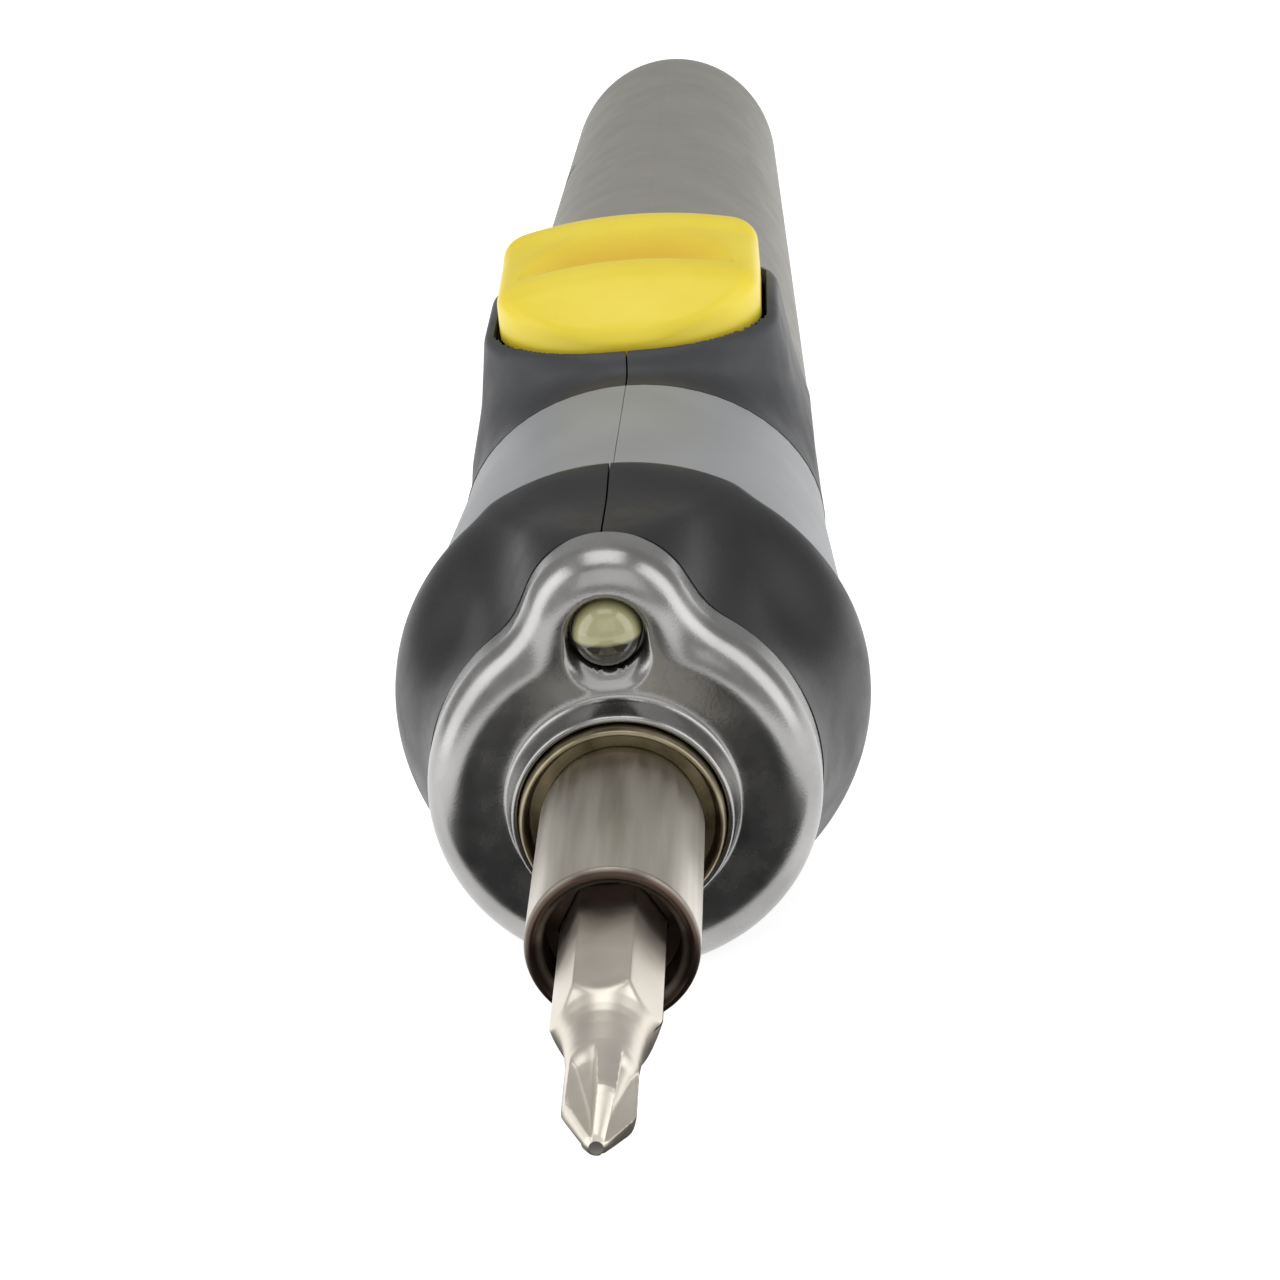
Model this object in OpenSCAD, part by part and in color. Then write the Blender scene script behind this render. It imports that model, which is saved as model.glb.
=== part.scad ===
// Cordless electric screwdriver with a work light, laid along Y.
// The bit points to -Y, +X is the right side seen from the bit, and +Z is up.
// The origin is the centre of the bit holder's mouth, on the spindle axis.

/* [Bit and holder] */
// Hex size of the bit across its flats
hex_af = 6.35; // [6.2:0.05:6.5]
// Length of the bit
bit_length = 50; // [46:1:54]
// How far the bit stands out of the holder
bit_reach = 25.2; // [22:0.5:28]
// Radius of the bit's neck behind the cross tip
neck_r = 2.3; // [2.1:0.1:2.6]
// Length of the hex that is left outside the holder
hex_out = 11.4; // [9:0.2:12]
// Length of the rounded shoulder between hex and neck
shoulder_len = 4.6; // [3.5:0.2:5.5]
// Thickness of one wing of the cross tip
wing_t = 1.3; // [1.1:0.1:1.6]
// Outer radius of the bit holder
holder_r = 5.88; // [5.6:0.02:6.2]
// How much thinner the holder's journal is than its outside
journal_step = 0.25; // [0.2:0.01:0.3]
// How far the bit holder stands out of the nose
holder_reach = 22.65; // [20:0.25:25]
// Radius of the round mouth in front of the hex socket
mouth_r = 4.6; // [4.3:0.1:4.8]
// Depth of the round mouth
mouth_depth = 3.5; // [2.5:0.5:5]
// Radius of the spindle behind the bit holder
spindle_r = 4; // [3.6:0.1:4.3]
// Length of the magnet at the bottom of the socket
magnet_len = 2.6; // [2:0.2:3]

/* [Nose cap] */
// Outer radius of the nose cap
nose_r = 14.4; // [14.2:0.1:14.8]
// Length of the nose cap behind its face
cap_len = 5.5; // [5:0.25:6.5]
// Wall of the nose cap
cap_wall = 1.3; // [1:0.1:1.5]
// Radius of the flat ring on the face
face_r = 10.8; // [10:0.1:11.4]
// Outer radius of the raised lip where it leaves the face
lip_base_r = 8.44; // [8.3:0.02:8.8]
// Outer radius of the raised lip at its front
lip_front_r = 8; // [7.8:0.02:8.2]
// How far the lip stands out of the face
lip_len = 2.5; // [2:0.1:3]
// Radius of the bump that holds the work light
bump_r = 6.3; // [6.1:0.1:6.5]
// Height of the bump's axis over the spindle
bump_z = 12.7; // [12.5:0.1:13]
// Diameter of the work light's lens
led_d = 5; // [4.8:0.1:5.2]
// Height of the work light over the spindle
led_z = 13.1; // [12.8:0.1:13.2]
// Gap round the lens in its niche
niche_gap = 0.78; // [0.6:0.05:0.9]
// Depth of the niche behind the face
niche_depth = 1.6; // [1.2:0.1:1.7]

/* [Body] */
// Radius of the flange
flange_r = 18.3; // [18:0.1:19]
// Distance from the nose face to the flange
flange_at = 20.5; // [19.5:0.5:21]
// Thickness of the flange's edge
flange_t = 1.1; // [0.8:0.1:1.4]
// Radius of the grey band behind the flange
band_r = 17.5; // [17.3:0.1:17.8]
// Distance from the nose face to the joint of band and grip
joint_at = 49; // [48:0.5:50]
// Lean of that joint, in degrees
joint_lean = 24; // [15:1:28]
// Radius of the body at that joint
joint_r = 15.7; // [15.5:0.1:16.2]
// Radius of the grip where the tail dome starts
tail_r = 11.9; // [11.8:0.1:12.4]
// Length of the tail dome
dome_len = 20; // [18:1:22]
// Thickness of the rubber over the housing
rubber_t = 1.4; // [1.2:0.1:1.5]
// Wall of the housing
wall_t = 1.8; // [1.6:0.1:1.9]
// Height of the underside below the spindle
belly_z = 15.6; // [15.4:0.1:15.9]
// Width of the keel under the grip
keel_w = 15; // [12:0.5:17]
// Length of the keel's front and rear round
keel_round = 7; // [5:0.5:8]

/* [Button] */
// Width of the button
button_w = 22.8; // [21:0.2:23.2]
// Length of the button
button_len = 24; // [22:0.5:25]
// Distance from the nose face to the button's front edge
button_at = 54.6; // [54:0.2:55.5]
// Height of the button's lower edge over the spindle
button_z = 16.3; // [16.2:0.1:16.6]
// Height of the crest before the finger dish
crest_z = 22.2; // [21.6:0.1:22.8]
// Height of the rear lip behind the finger dish
lip_z = 23.2; // [22.6:0.1:24]
// Depth of the finger dish under the crest
dish_depth = 1.1; // [0.6:0.1:1.3]
// Distance from the button's front edge to its hinge
hinge_at = 12.2; // [11.5:0.1:13]
// Height of the hinge over the spindle
hinge_z = 16.6; // [16.5:0.1:17]
// Radius of the hinge pin
pin_r = 1; // [0.8:0.1:1.2]
// Height of the rubber rim round the button
rim_z = 16.9; // [16.4:0.1:17.2]
// Width of the rubber rim round the button
rim_w = 1; // [0.8:0.1:1.6]

/* [Gears] */
// Gear module
gear_m = 0.5; // [0.49:0.005:0.505]
// Pressure angle
press_angle = 20; // [18:0.5:22]
// Slack of each tooth flank
backlash = 0.05; // [0.04:0.01:0.07]
// Outer radius of the gearbox casing
gearbox_r = 13.8; // [13.4:0.1:13.9]
// Face width of the output planets
out_face = 6; // [5.5:0.25:6.5]
// Face width of the input planets
in_face = 5; // [4.5:0.25:5.5]
// Thickness of the output carrier
out_disc_t = 3.4; // [3:0.1:3.8]
// Thickness of the input carrier
in_disc_t = 2.4; // [2:0.1:2.6]
// Radius of the output planets' pins
out_pin_r = 1.3; // [1.1:0.05:1.5]
// Radius of the input planets' pins
in_pin_r = 1; // [0.9:0.05:1.2]
// Thickness of the gearbox cover
cover_t = 2.2; // [1.8:0.1:2.5]

/* [Motor] */
// Radius of the motor can
motor_r = 10.2; // [9.8:0.1:10.4]
// Height of the flats on the motor can
motor_flat = 15.4; // [15:0.1:15.8]
// Length of the motor can
motor_len = 31; // [29:0.5:31.5]
// Radius of the motor shaft
shaft_r = 1; // [0.9:0.05:1.1]
// Wall of the motor can
can_t = 0.8; // [0.6:0.1:1]
// Radius of the armature
armature_r = 6.4; // [6:0.1:6.5]

/* [Battery] */
// Radius of the cell
cell_r = 9.15; // [9:0.05:9.2]
// Length of the cell
cell_len = 65; // [64:0.25:65.5]
// Distance from the motor to the cell
cell_room = 9.95; // [9.6:0.05:10.4]
// Distance from the cell to the tail dome
tail_room = 33; // [28:1:36]

/* [Electrics] */
// Thickness of the circuit boards
board_t = 1.2; // [1:0.1:1.4]
// Width of the switch
switch_w = 9.4; // [9:0.2:9.6]
// Length of the switch
switch_len = 14; // [12:0.5:15]
// Width and height of the charging jack
jack_w = 9; // [8.5:0.1:9.4]
// Radius of the charging jack's hole
jack_r = 2.75; // [2.5:0.05:2.9]
// Depth of the charging jack's hole
jack_depth = 9; // [8:0.5:10]

/* [Fasteners] */
// Thread radius of the housing screws
screw_r = 1.1; // [1:0.05:1.25]
// Head radius of the housing screws
head_r = 2.1; // [1.9:0.1:2.3]
// Head height of the housing screws
head_h = 1.6; // [1.4:0.1:1.8]
// How far the housing screws reach past the seam
screw_past = 7; // [6:0.5:8]

/* [Clearances] */
// Gap between pieces that are fixed together
seat_gap = 0.05; // [0.03:0.01:0.08]
// Radial gap of parts that turn in each other
run_gap = 0.04; // [0.03:0.01:0.06]
// Gap between parts that move past each other
free_gap = 0.35; // [0.3:0.05:0.4]

/* [Hidden] */
$fn = 96;
big = 200;
nose_y = holder_reach;
hex_r = hex_af / 2 / cos(30);
bit_back = bit_length - bit_reach;
led_r = led_d / 2;
niche_r = led_r + niche_gap;
bush_r = lip_front_r - 0.6;
bush_out = lip_len + 1.05;
journal_r = holder_r - journal_step;
journal_front = bush_out + 0.15;

// Teeth of both gear stages, and what follows from them
sun_z = 9;
planet_z = 18;
ring_z = 45;
orbit_r = (sun_z + planet_z) * gear_m / 2;

// Places along the axis, counted from the nose face
wall_at = niche_depth + 0.1;
wall_end = wall_at + 2.5;
bush_end = 9;
bush_flange_t = 1.2;
clip_at = bush_end + bush_flange_t + free_gap;
clip_t = 0.8;
cover_end = flange_at + flange_t + 0.3;
cover_at = cover_end - cover_t;
boss_at = cover_at - 4.6;
out_disc_at = cover_end + free_gap;
out_planet_at = out_disc_at + out_disc_t + free_gap;
in_disc_at = out_planet_at + out_face + free_gap;
in_planet_at = in_disc_at + in_disc_t + free_gap;
ring_end = in_planet_at + in_face + free_gap;
plate_t = 1.5;
motor_at = ring_end + plate_t + 2 * seat_gap;
motor_end = motor_at + motor_len;
winding_at = motor_at + motor_len * 0.16;
winding_end = motor_end - motor_len * 0.29;
cell_at = motor_end + cell_room;
cell_end = cell_at + cell_len;
dome_at = cell_end + tail_room;
body_end = dome_at + dome_len;
hinge_y = button_at + hinge_at;
board_z = -motor_flat / 2 - 0.3 - board_t - 1;
board_w = 11;
jack_mouth = body_end - rubber_t - 0.4;
jack_front = body_end - 6.5;
jack_back = jack_mouth - jack_depth - 4;
cavity_end = jack_back - 3;
switch_z = motor_flat / 2 + 0.3;
switch_h = 2.6;
slider_h = 1.0;
slider_w = 4.4;
tip_cone = 3.5;
wing_turn = 19;
ear_x = 4.2;
ear_t = 1.8;
finger_w = 3;
finger_t = 2;

// Screws: distance from the nose face, and height
front_screw = cap_len + 9.7;
middle_screw = motor_end + cell_room * 0.72;
rear_screw = cell_end + 6.5;
screw_places = [[front_screw, -nose_r * 0.625], [middle_screw, 8.6], [middle_screw, -8.6],
    [rear_screw, 5.4], [rear_screw, -5.4]];

// Turns local z to +Y and local y to +Z, at a distance behind the nose face
module axial(s = 0) {
    translate([0, nose_y + s, 0]) rotate([90, 0, 180]) children();
}

// A pipe along the axis from s0 to s1
module tube(s0, s1, r_out, r_in = 0) {
    axial(s0) difference() {
        cylinder(h = s1 - s0, r = r_out);
        if (r_in > 0) translate([0, 0, -1]) cylinder(h = s1 - s0 + 2, r = r_in);
    }
}

// A box between two distances from the nose face
module block(s0, s1, w, z0, z1) {
    translate([-w / 2, nose_y + s0, z0]) cube([w, s1 - s0, z1 - z0]);
}

// Everything on one side of the seam: 1 is the right side, -1 the left
module half(side) {
    intersection() {
        children();
        translate([side > 0 ? seat_gap / 2 : -big - seat_gap / 2, -big, -big]) cube([big, 3 * big, 2 * big]);
    }
}

// Radius of the body at a distance from the nose face
function smooth(t) = t * t * (3 - 2 * t);
function cone_r(s) = joint_r + (tail_r - joint_r) * (s - joint_at) / (dome_at - joint_at);
collar_line = [for (i = [0:8]) [nose_r + (flange_r - nose_r) * smooth(i / 8), cap_len + (flange_at - cap_len) * i / 8]];
dome_line = [for (a = [0:10:90]) [tail_r * cos(a), dome_at + dome_len * sin(a)]];
grip_line = concat([[band_r, flange_at + flange_t], [joint_r, joint_at]], dome_line);

// A solid of revolution under a line of [radius, distance], less a skin
module turned(line, skin = 0) {
    first = line[0];
    last = line[len(line) - 1];
    axial(0) rotate_extrude() polygon(concat([[0, first[1]]],
        [for (p = line) [max(p[0] - skin, 0), p[1]]], [[0, last[1]]]));
}

// Cuts off what lies under the flat underside
module above_belly(lift = 0) {
    intersection() {
        children();
        translate([-big / 2, -big, -belly_z + lift]) cube([big, 3 * big, big]);
    }
}

// Everything in front of the leaning joint, shifted by d
module before_joint(d = 0) {
    translate([0, nose_y + joint_at + d, joint_r - rubber_t / 2]) rotate([joint_lean, 0, 0])
        translate([-big / 2, -big, -big / 2]) cube([big, big, big]);
}

// Outline of the button seen from above, grown by g
module button_plan(g = 0) {
    w = button_w / 2 + g;
    front = button_at - g;
    rear = button_at + button_len + g;
    depth = button_w * 0.4 + g;
    corner = 5 + g;
    translate([0, nose_y]) polygon(concat(
        [for (a = [0:12:180]) [w * cos(a), front + depth - depth * sin(a)]],
        [for (a = [0:18:90]) [-w + corner - corner * cos(a), rear - corner + corner * sin(a)]],
        [for (a = [90:-18:0]) [w - corner + corner * cos(a), rear - corner + corner * sin(a)]]));
}

// Ridge behind the light: how far it starts under the bump's top, ends under the flange's edge, and widens
ridge_drop = 0.2;
ridge_sink = 0.45;
ridge_spread = 3;

// How fast the hard body widens under the collar's rear part
core_slope = (band_r - nose_r - 0.3) / (flange_at + flange_t - cap_len - 8);

// Tower of the housing that carries the work light
tower_r = bump_r - cap_wall - seat_gap;

// Ridge of the collar behind the light: it widens and sinks into the flange
module ridge() {
    intersection() {
        translate([0, 0, bump_z]) axial(cap_len)
            cylinder(h = flange_at - cap_len, r1 = bump_r, r2 = bump_r + ridge_spread);
        turned([[bump_z + bump_r - ridge_drop, cap_len - 1], [flange_r - ridge_sink, flange_at + 1]]);
    }
}

module bit_socket_hex(s0, s1, r) {
    axial(s0) cylinder(h = s1 - s0, r = r, $fn = 6);
}

module screwdriver_bit() {
    tip = -holder_reach - bit_reach;
    hex_front = -holder_reach - hex_out;
    neck_at = hex_front - shoulder_len;
    rear = tip + bit_length;
    color([0.74, 0.71, 0.66]) union() {
        intersection() {
            bit_socket_hex(hex_front, rear, hex_r);
            axial(hex_front) rotate_extrude() polygon([[0, 0], [hex_af / 2 - 0.1, 0], [hex_r, 1.2],
                [hex_r, rear - hex_front - 0.7], [hex_r - 0.7, rear - hex_front], [0, rear - hex_front]]);
        }
        axial(neck_at) rotate_extrude() polygon([[0, 0], [neck_r, 0], [neck_r + 0.15, shoulder_len * 0.4],
            [hex_af / 2 - 0.45, shoulder_len * 0.8], [hex_af / 2 - 0.1, shoulder_len + 0.01],
            [0, shoulder_len + 0.01]]);
        intersection() {
            axial(tip) rotate_extrude() polygon([[0, 0], [0.55, 0], [neck_r, tip_cone],
                [neck_r, neck_at - tip + 0.01], [0, neck_at - tip + 0.01]]);
            rotate([0, wing_turn, 0]) union() {
                block(tip - 1, neck_at + 0.01, wing_t, -neck_r, neck_r);
                block(tip - 1, neck_at + 0.01, 2 * neck_r, -wing_t / 2, wing_t / 2);
                axial(tip) cylinder(h = neck_at - tip + 0.01, r1 = 0.4, r2 = neck_r);
            }
        }
    }
}

module bit_holder() {
    socket_end = bit_back - holder_reach + seat_gap;
    chamfer = holder_r - mouth_r - 0.55;
    drive_at = cover_end + free_gap / 2;
    color([0.62, 0.6, 0.56]) difference() {
        union() {
            axial(-holder_reach) rotate_extrude() polygon([[0, 0], [holder_r - 0.35, 0], [holder_r, 0.5],
                [holder_r, holder_reach - journal_front], [journal_r, holder_reach - journal_front],
                [journal_r, clip_at + holder_reach], [0, clip_at + holder_reach]]);
            tube(clip_at - 0.01, clip_at + clip_t + 0.1, spindle_r + 0.6);
            tube(clip_at + clip_t + 0.09, clip_at + clip_t + 1, spindle_r + 1);
            tube(clip_at + clip_t, drive_at, spindle_r);
            block(drive_at - 0.01, out_disc_at + out_disc_t, spindle_r * 1.34, -spindle_r * 0.67, spindle_r * 0.67);
        }
        axial(-holder_reach - 0.01) cylinder(h = chamfer, r1 = mouth_r + chamfer, r2 = mouth_r);
        tube(-holder_reach - 1, -holder_reach + mouth_depth, mouth_r);
        bit_socket_hex(-holder_reach, socket_end, hex_r + run_gap + 0.04);
        tube(socket_end - 0.01, socket_end + magnet_len + seat_gap, hex_af / 2 - 0.4 + seat_gap);
    }
}

module socket_magnet() {
    front = bit_back - holder_reach + seat_gap;
    color([0.35, 0.35, 0.37]) tube(front + 0.02, front + magnet_len, hex_af / 2 - 0.4);
}

module spindle_clip() {
    inner = spindle_r + 0.6 + seat_gap;
    color([0.3, 0.3, 0.32]) difference() {
        tube(clip_at + 0.02, clip_at + clip_t, inner + 1.6, inner);
        block(clip_at - 1, clip_at + clip_t + 1, inner * 1.5, -inner - 4, 0);
    }
}

module thrust_washer() {
    color([0.75, 0.75, 0.72])
        tube(bush_end + bush_flange_t + 0.03, clip_at - 0.03, journal_r + 2, journal_r + run_gap);
}

module nose_cap() {
    inner = nose_r - cap_wall;
    color([0.78, 0.78, 0.8]) difference() {
        union() {
            axial(0) rotate_extrude() polygon([[0, -lip_len], [lip_front_r - 0.3, -lip_len], [lip_front_r, -lip_len + 0.3],
                [lip_base_r, 0], [face_r, 0.1], [nose_r - 2, 0.35], [nose_r - 0.9, 0.9], [nose_r - 0.25, 1.8],
                [nose_r, 3], [nose_r, cap_len], [0, cap_len]]);
            translate([0, 0, bump_z]) axial(0) rotate_extrude() polygon([[0, 0.1], [bump_r - 2.2, 0.1],
                [bump_r - 1, 0.6], [bump_r - 0.25, 1.6], [bump_r, 3], [bump_r, cap_len], [0, cap_len]]);
        }
        tube(wall_at, cap_len + 1, inner);
        translate([0, 0, bump_z]) tube(wall_at, cap_len + 1, bump_r - cap_wall);
        tube(-lip_len - 1, cap_len, bush_r + seat_gap);
        translate([0, 0, led_z]) tube(-1, niche_depth, niche_r);
        block(-1, niche_depth - 0.9, 2 * niche_r, lip_base_r + 0.2, led_z);
        translate([0, 0, led_z]) tube(-1, cap_len, led_r + seat_gap);
    }
}

module front_bushing() {
    color([0.55, 0.48, 0.36]) axial(0) rotate_extrude() polygon([
        [journal_r + run_gap, -bush_out + 1.3], [bush_r - 0.75, -bush_out + 1.1], [bush_r - 0.5, -bush_out + 0.2],
        [bush_r - 0.3, -bush_out], [bush_r - 0.1, -bush_out + 0.2], [bush_r, -bush_out + 0.6], [bush_r, bush_end],
        [bush_r + 1.6, bush_end], [bush_r + 1.6, bush_end + bush_flange_t], [journal_r + run_gap, bush_end + bush_flange_t]]);
}

module rear_bushing() {
    color([0.6, 0.5, 0.36]) tube(boss_at, cover_end, spindle_r + 1.6, spindle_r + run_gap);
}

module work_light_led() {
    dome_end = led_r - 1.3;
    color([0.7, 0.68, 0.5]) translate([0, 0, led_z]) union() {
        axial(0) rotate_extrude() polygon(concat(
            [for (a = [90:-10:0]) [led_r * cos(a), dome_end - led_r * sin(a)]],
            [[led_r, wall_end + seat_gap], [led_r + 0.45, wall_end + seat_gap], [led_r + 0.45, wall_end + 1],
            [0, wall_end + 1]]));
        for (x = [-1.27, 1.27]) translate([x, 0, 0]) tube(wall_end + 0.9, wall_end + 4.5, 0.25);
    }
}

module led_board() {
    at = wall_end + 4.5 + 0.02;
    color([0.12, 0.35, 0.2]) translate([0, 0, led_z]) tube(at, at + board_t, led_r + 0.6);
}

// Space for the work light, its board and its wires
module light_space() {
    translate([0, 0, led_z]) {
        tube(-1, wall_end + 1, led_r + seat_gap);
        tube(wall_end, flange_at - 3, led_r + 0.7);
    }
    block(wall_end + 6.5, flange_at - 3, led_r * 1.4, 0, led_z);
}

// The housing's ribs round the motor and the cell
module rib(s0, s1) {
    skin = rubber_t + wall_t - 0.5;
    axial(s0) cylinder(h = s1 - s0, r1 = cone_r(s0) - skin, r2 = cone_r(s1) - skin);
}

module motor_bed(g) {
    intersection() {
        tube(0, motor_end + big, motor_r + g);
        block(0, motor_end + big, 4 * motor_r, -motor_flat / 2 - g, motor_flat / 2 + g);
    }
}

module housing_ribs() {
    difference() {
        union() {
            rib(motor_at + 3, motor_at + 5);
            rib(motor_end - 5, motor_end - 3);
            rib(cell_at + 6, cell_at + 8);
            rib(cell_at + cell_len / 2, cell_at + cell_len / 2 + 2);
        }
        motor_bed(seat_gap + 0.05);
        tube(cell_at - 1, cell_end + 1, cell_r + seat_gap + 0.05);
        block(motor_at, motor_end, 13.2, board_z - 0.1, 0);
        block(motor_at, motor_end, switch_w + 0.4, 0, 20);
    }
}

module screw_bosses() {
    for (p = screw_places) translate([0, nose_y + p[0], p[1]]) rotate([0, 90, 0])
        cylinder(h = 2 * boss_reach(p), r = screw_r + 1.3, center = true);
}
function boss_reach(p) = sqrt(pow(cone_or_collar(p[0]) - rubber_t - 0.4, 2) - pow(abs(p[1]) + screw_r + 1.3, 2));
function cone_or_collar(s) = s < cap_len + 10 ? nose_r : cone_r(s);
function head_x(p) = boss_reach(p) - head_h;

// Screw holes: clear in the left half, with the head's pocket, and blind in the right one
module screw_holes() {
    for (p = screw_places) translate([0, nose_y + p[0], p[1]]) rotate([0, 90, 0]) {
        translate([0, 0, -head_x(p)]) cylinder(h = head_x(p) + screw_past + 1, r = screw_r + seat_gap);
        translate([0, 0, -big / 2 - head_x(p)]) cylinder(h = big / 2, r = head_r + 0.15);
    }
}

module housing_body() {
    bay_r = nose_r - rubber_t - wall_t;
    inner = [[bay_r, wall_end], [bay_r, cover_at - seat_gap], [gearbox_r + seat_gap, cover_at - seat_gap],
        [gearbox_r + seat_gap, motor_at], [joint_r - rubber_t - wall_t, motor_at],
        [joint_r - rubber_t - wall_t, joint_at], [cone_r(cavity_end) - rubber_t - wall_t, cavity_end]];
    core = concat([[nose_r - cap_wall - seat_gap, wall_at], [nose_r - cap_wall - seat_gap, cap_len + 0.2],
        [nose_r - rubber_t + 0.3, cap_len + 8], [band_r - rubber_t, flange_at + flange_t], [joint_r - rubber_t, joint_at]],
        [for (a = [0:15:75]) [(tail_r - rubber_t) * cos(a), dome_at + (dome_len - rubber_t) * sin(a)]],
        [[0, body_end - rubber_t]]);
    above_belly() difference() {
        union() {
            difference() {
                union() {
                    turned(core);
                    intersection() {
                        turned([[band_r, flange_at + flange_t + seat_gap], [joint_r, joint_at], [cone_r(90), 90]]);
                        before_joint();
                    }
                    translate([0, 0, bump_z]) tube(wall_at, flange_at + flange_t, tower_r);
                }
                turned(inner);
            }
            tube(wall_at, bush_end, bush_r + 1.9);
            difference() {
                union() {
                    screw_bosses();
                    translate([0, 0, led_z]) tube(wall_at, wall_end + 6, led_r + 1.6);
                }
                tube(-1, motor_end, bush_r);
            }
            housing_ribs();
            intersection() {
                union() {
                    block(hinge_y - 2.4, hinge_y + 2.4, 2 * (ear_x + ear_t), 11, hinge_z);
                    translate([0, nose_y + hinge_y, hinge_z]) rotate([0, 90, 0])
                        cylinder(h = 2 * (ear_x + ear_t), r = 2.4, center = true);
                }
                block(hinge_y - 5, hinge_y + 5, 40, cone_r(hinge_y) - rubber_t - wall_t + 0.4, 30);
            }
        }
        light_space();
        tube(-1, bush_end + 1, bush_r + seat_gap);
        block(hinge_y - 3.4, hinge_y + 3.4, 2 * ear_x, 8, 30);
        translate([0, nose_y + hinge_y, hinge_z]) rotate([0, 90, 0])
            cylinder(h = 2 * (ear_x + ear_t) + 2, r = pin_r + seat_gap, center = true);
        jack_space();
        screw_holes();
    }
}

module jack_space() {
    side = jack_w + 2 * seat_gap;
    board = jack_w + 1.2;
    block(jack_back - 0.1, jack_front + seat_gap, side, -side / 2, side / 2);
    tube(jack_front - 1, body_end + 1, jack_r + 0.8);
    block(cavity_end - 1, jack_back, jack_w / 2, -jack_w / 4, jack_w / 4);
    block(jack_back - board_t - 1, jack_back, board, -board / 2, board / 2);
}

module left_housing() {
    color([0.6, 0.6, 0.61]) half(-1) housing_body();
}

module right_housing() {
    color([0.6, 0.6, 0.61]) half(1) housing_body();
}

// The left half of the collar without its screw hole; the right half mirrors it
module collar_half() {
    half(-1) above_belly() difference() {
        union() {
            turned(concat(collar_line, [[flange_r - 0.3, flange_at + flange_t]]));
            ridge();
        }
        turned([[nose_r - cap_wall, cap_len - 1], [nose_r - cap_wall, cap_len + 0.2],
            [nose_r - rubber_t + 0.3 + seat_gap, cap_len + 8 - seat_gap],
            [band_r - rubber_t + seat_gap + core_slope, flange_at + flange_t + 1 - seat_gap]]);
        tube(0, cap_len + seat_gap, big / 4);
        translate([0, 0, bump_z]) tube(0, flange_at + 3, tower_r + seat_gap);
    }
}

module left_front_collar() {
    color([0.16, 0.16, 0.17]) difference() {
        collar_half();
        screw_holes();
    }
}

module right_front_collar() {
    color([0.16, 0.16, 0.17]) mirror([1, 0, 0]) collar_half();
}

// The raised saddle round the button
module saddle() {
    hull() {
        translate([0, 0, rim_z - 0.5]) linear_extrude(height = 0.5) button_plan(free_gap + rim_w);
        translate([0, 0, 7]) linear_extrude(height = 1) button_plan(free_gap + rim_w + 1.3);
    }
}

// The keel that the tool rests on: low ends that run up into the grip
module keel() {
    front = joint_at + 8 + keel_round;
    rear = dome_at + 2 - keel_round;
    hull() {
        for (y = [front, rear]) translate([0, nose_y + y, -belly_z]) cylinder(h = 1, r = keel_w / 2, $fn = 32);
        for (y = [front - 4, rear + 9]) translate([0, nose_y + y, -7]) cylinder(h = 1, r = keel_w / 2 + 1, $fn = 32);
    }
}

module grip_body() {
    skin = rubber_t - 2 * seat_gap;
    core = concat([[band_r - skin, flange_at], [joint_r - skin, joint_at]],
        [for (a = [0:15:75]) [(tail_r - skin) * cos(a), dome_at + (dome_len - skin) * sin(a)]],
        [[0, body_end - skin]]);
    above_belly() difference() {
        union() {
            turned(grip_line);
            saddle();
            keel();
        }
        turned(core);
        before_joint(seat_gap);
        translate([0, 0, 5]) linear_extrude(height = 40) button_plan(free_gap);
        tube(jack_front - 1, body_end + 1, jack_r + 1);
        screw_holes();
    }
}

module left_grip() {
    color([0.3, 0.3, 0.29]) half(-1) grip_body();
}

module right_grip() {
    color([0.3, 0.3, 0.29]) half(1) grip_body();
}

// Outline of a spur gear with a tooth centre at angle 0
function inv_angle(r, base) = r <= base ? 0 : sqrt(pow(r / base, 2) - 1) * 180 / PI - acos(base / r);
function tooth_half(r, z, slack) = 90 / z + inv_angle(z * gear_m / 2, z * gear_m / 2 * cos(press_angle))
    - inv_angle(r, z * gear_m / 2 * cos(press_angle)) - slack / r * 180 / PI;
function gear_outline(z, tip, root, slack) = [for (i = [0:z - 1]) for (k = [-3:3])
    let (r = k == -3 || k == 3 ? root : abs(k) == 2 ? max(root + 0.05, z * gear_m / 2 - 0.25 * gear_m)
            : k == 0 ? tip : tip - 0.02,
        a = k == -3 || k == 3 ? (tooth_half(max(root, z * gear_m / 2 * cos(press_angle)), z, slack) + 1.5 / z)
            : k == 0 ? 0 : tooth_half(r, z, slack))
    [r * cos(i * 360 / z + sign(k) * a), r * sin(i * 360 / z + sign(k) * a)]];

module spur(z, turn = 0) {
    pitch = z * gear_m / 2;
    rotate(turn) polygon(gear_outline(z, pitch + gear_m * 0.9, pitch - gear_m * 1.25, backlash));
}

// A planet gear at one of the three places, between s0 and s1
module planet(i, s0, face, bore) {
    axial(s0) rotate(i * 120) translate([orbit_r, 0, 0]) rotate(-i * 120) difference() {
        linear_extrude(height = face) spur(planet_z, 180 / planet_z);
        translate([0, 0, -1]) cylinder(h = face + 2, r = bore);
    }
}

module planet_pins(s0, s1, r) {
    for (i = [0:2]) axial(s0) rotate(i * 120) translate([orbit_r, 0, 0]) cylinder(h = s1 - s0, r = r);
}

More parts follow.
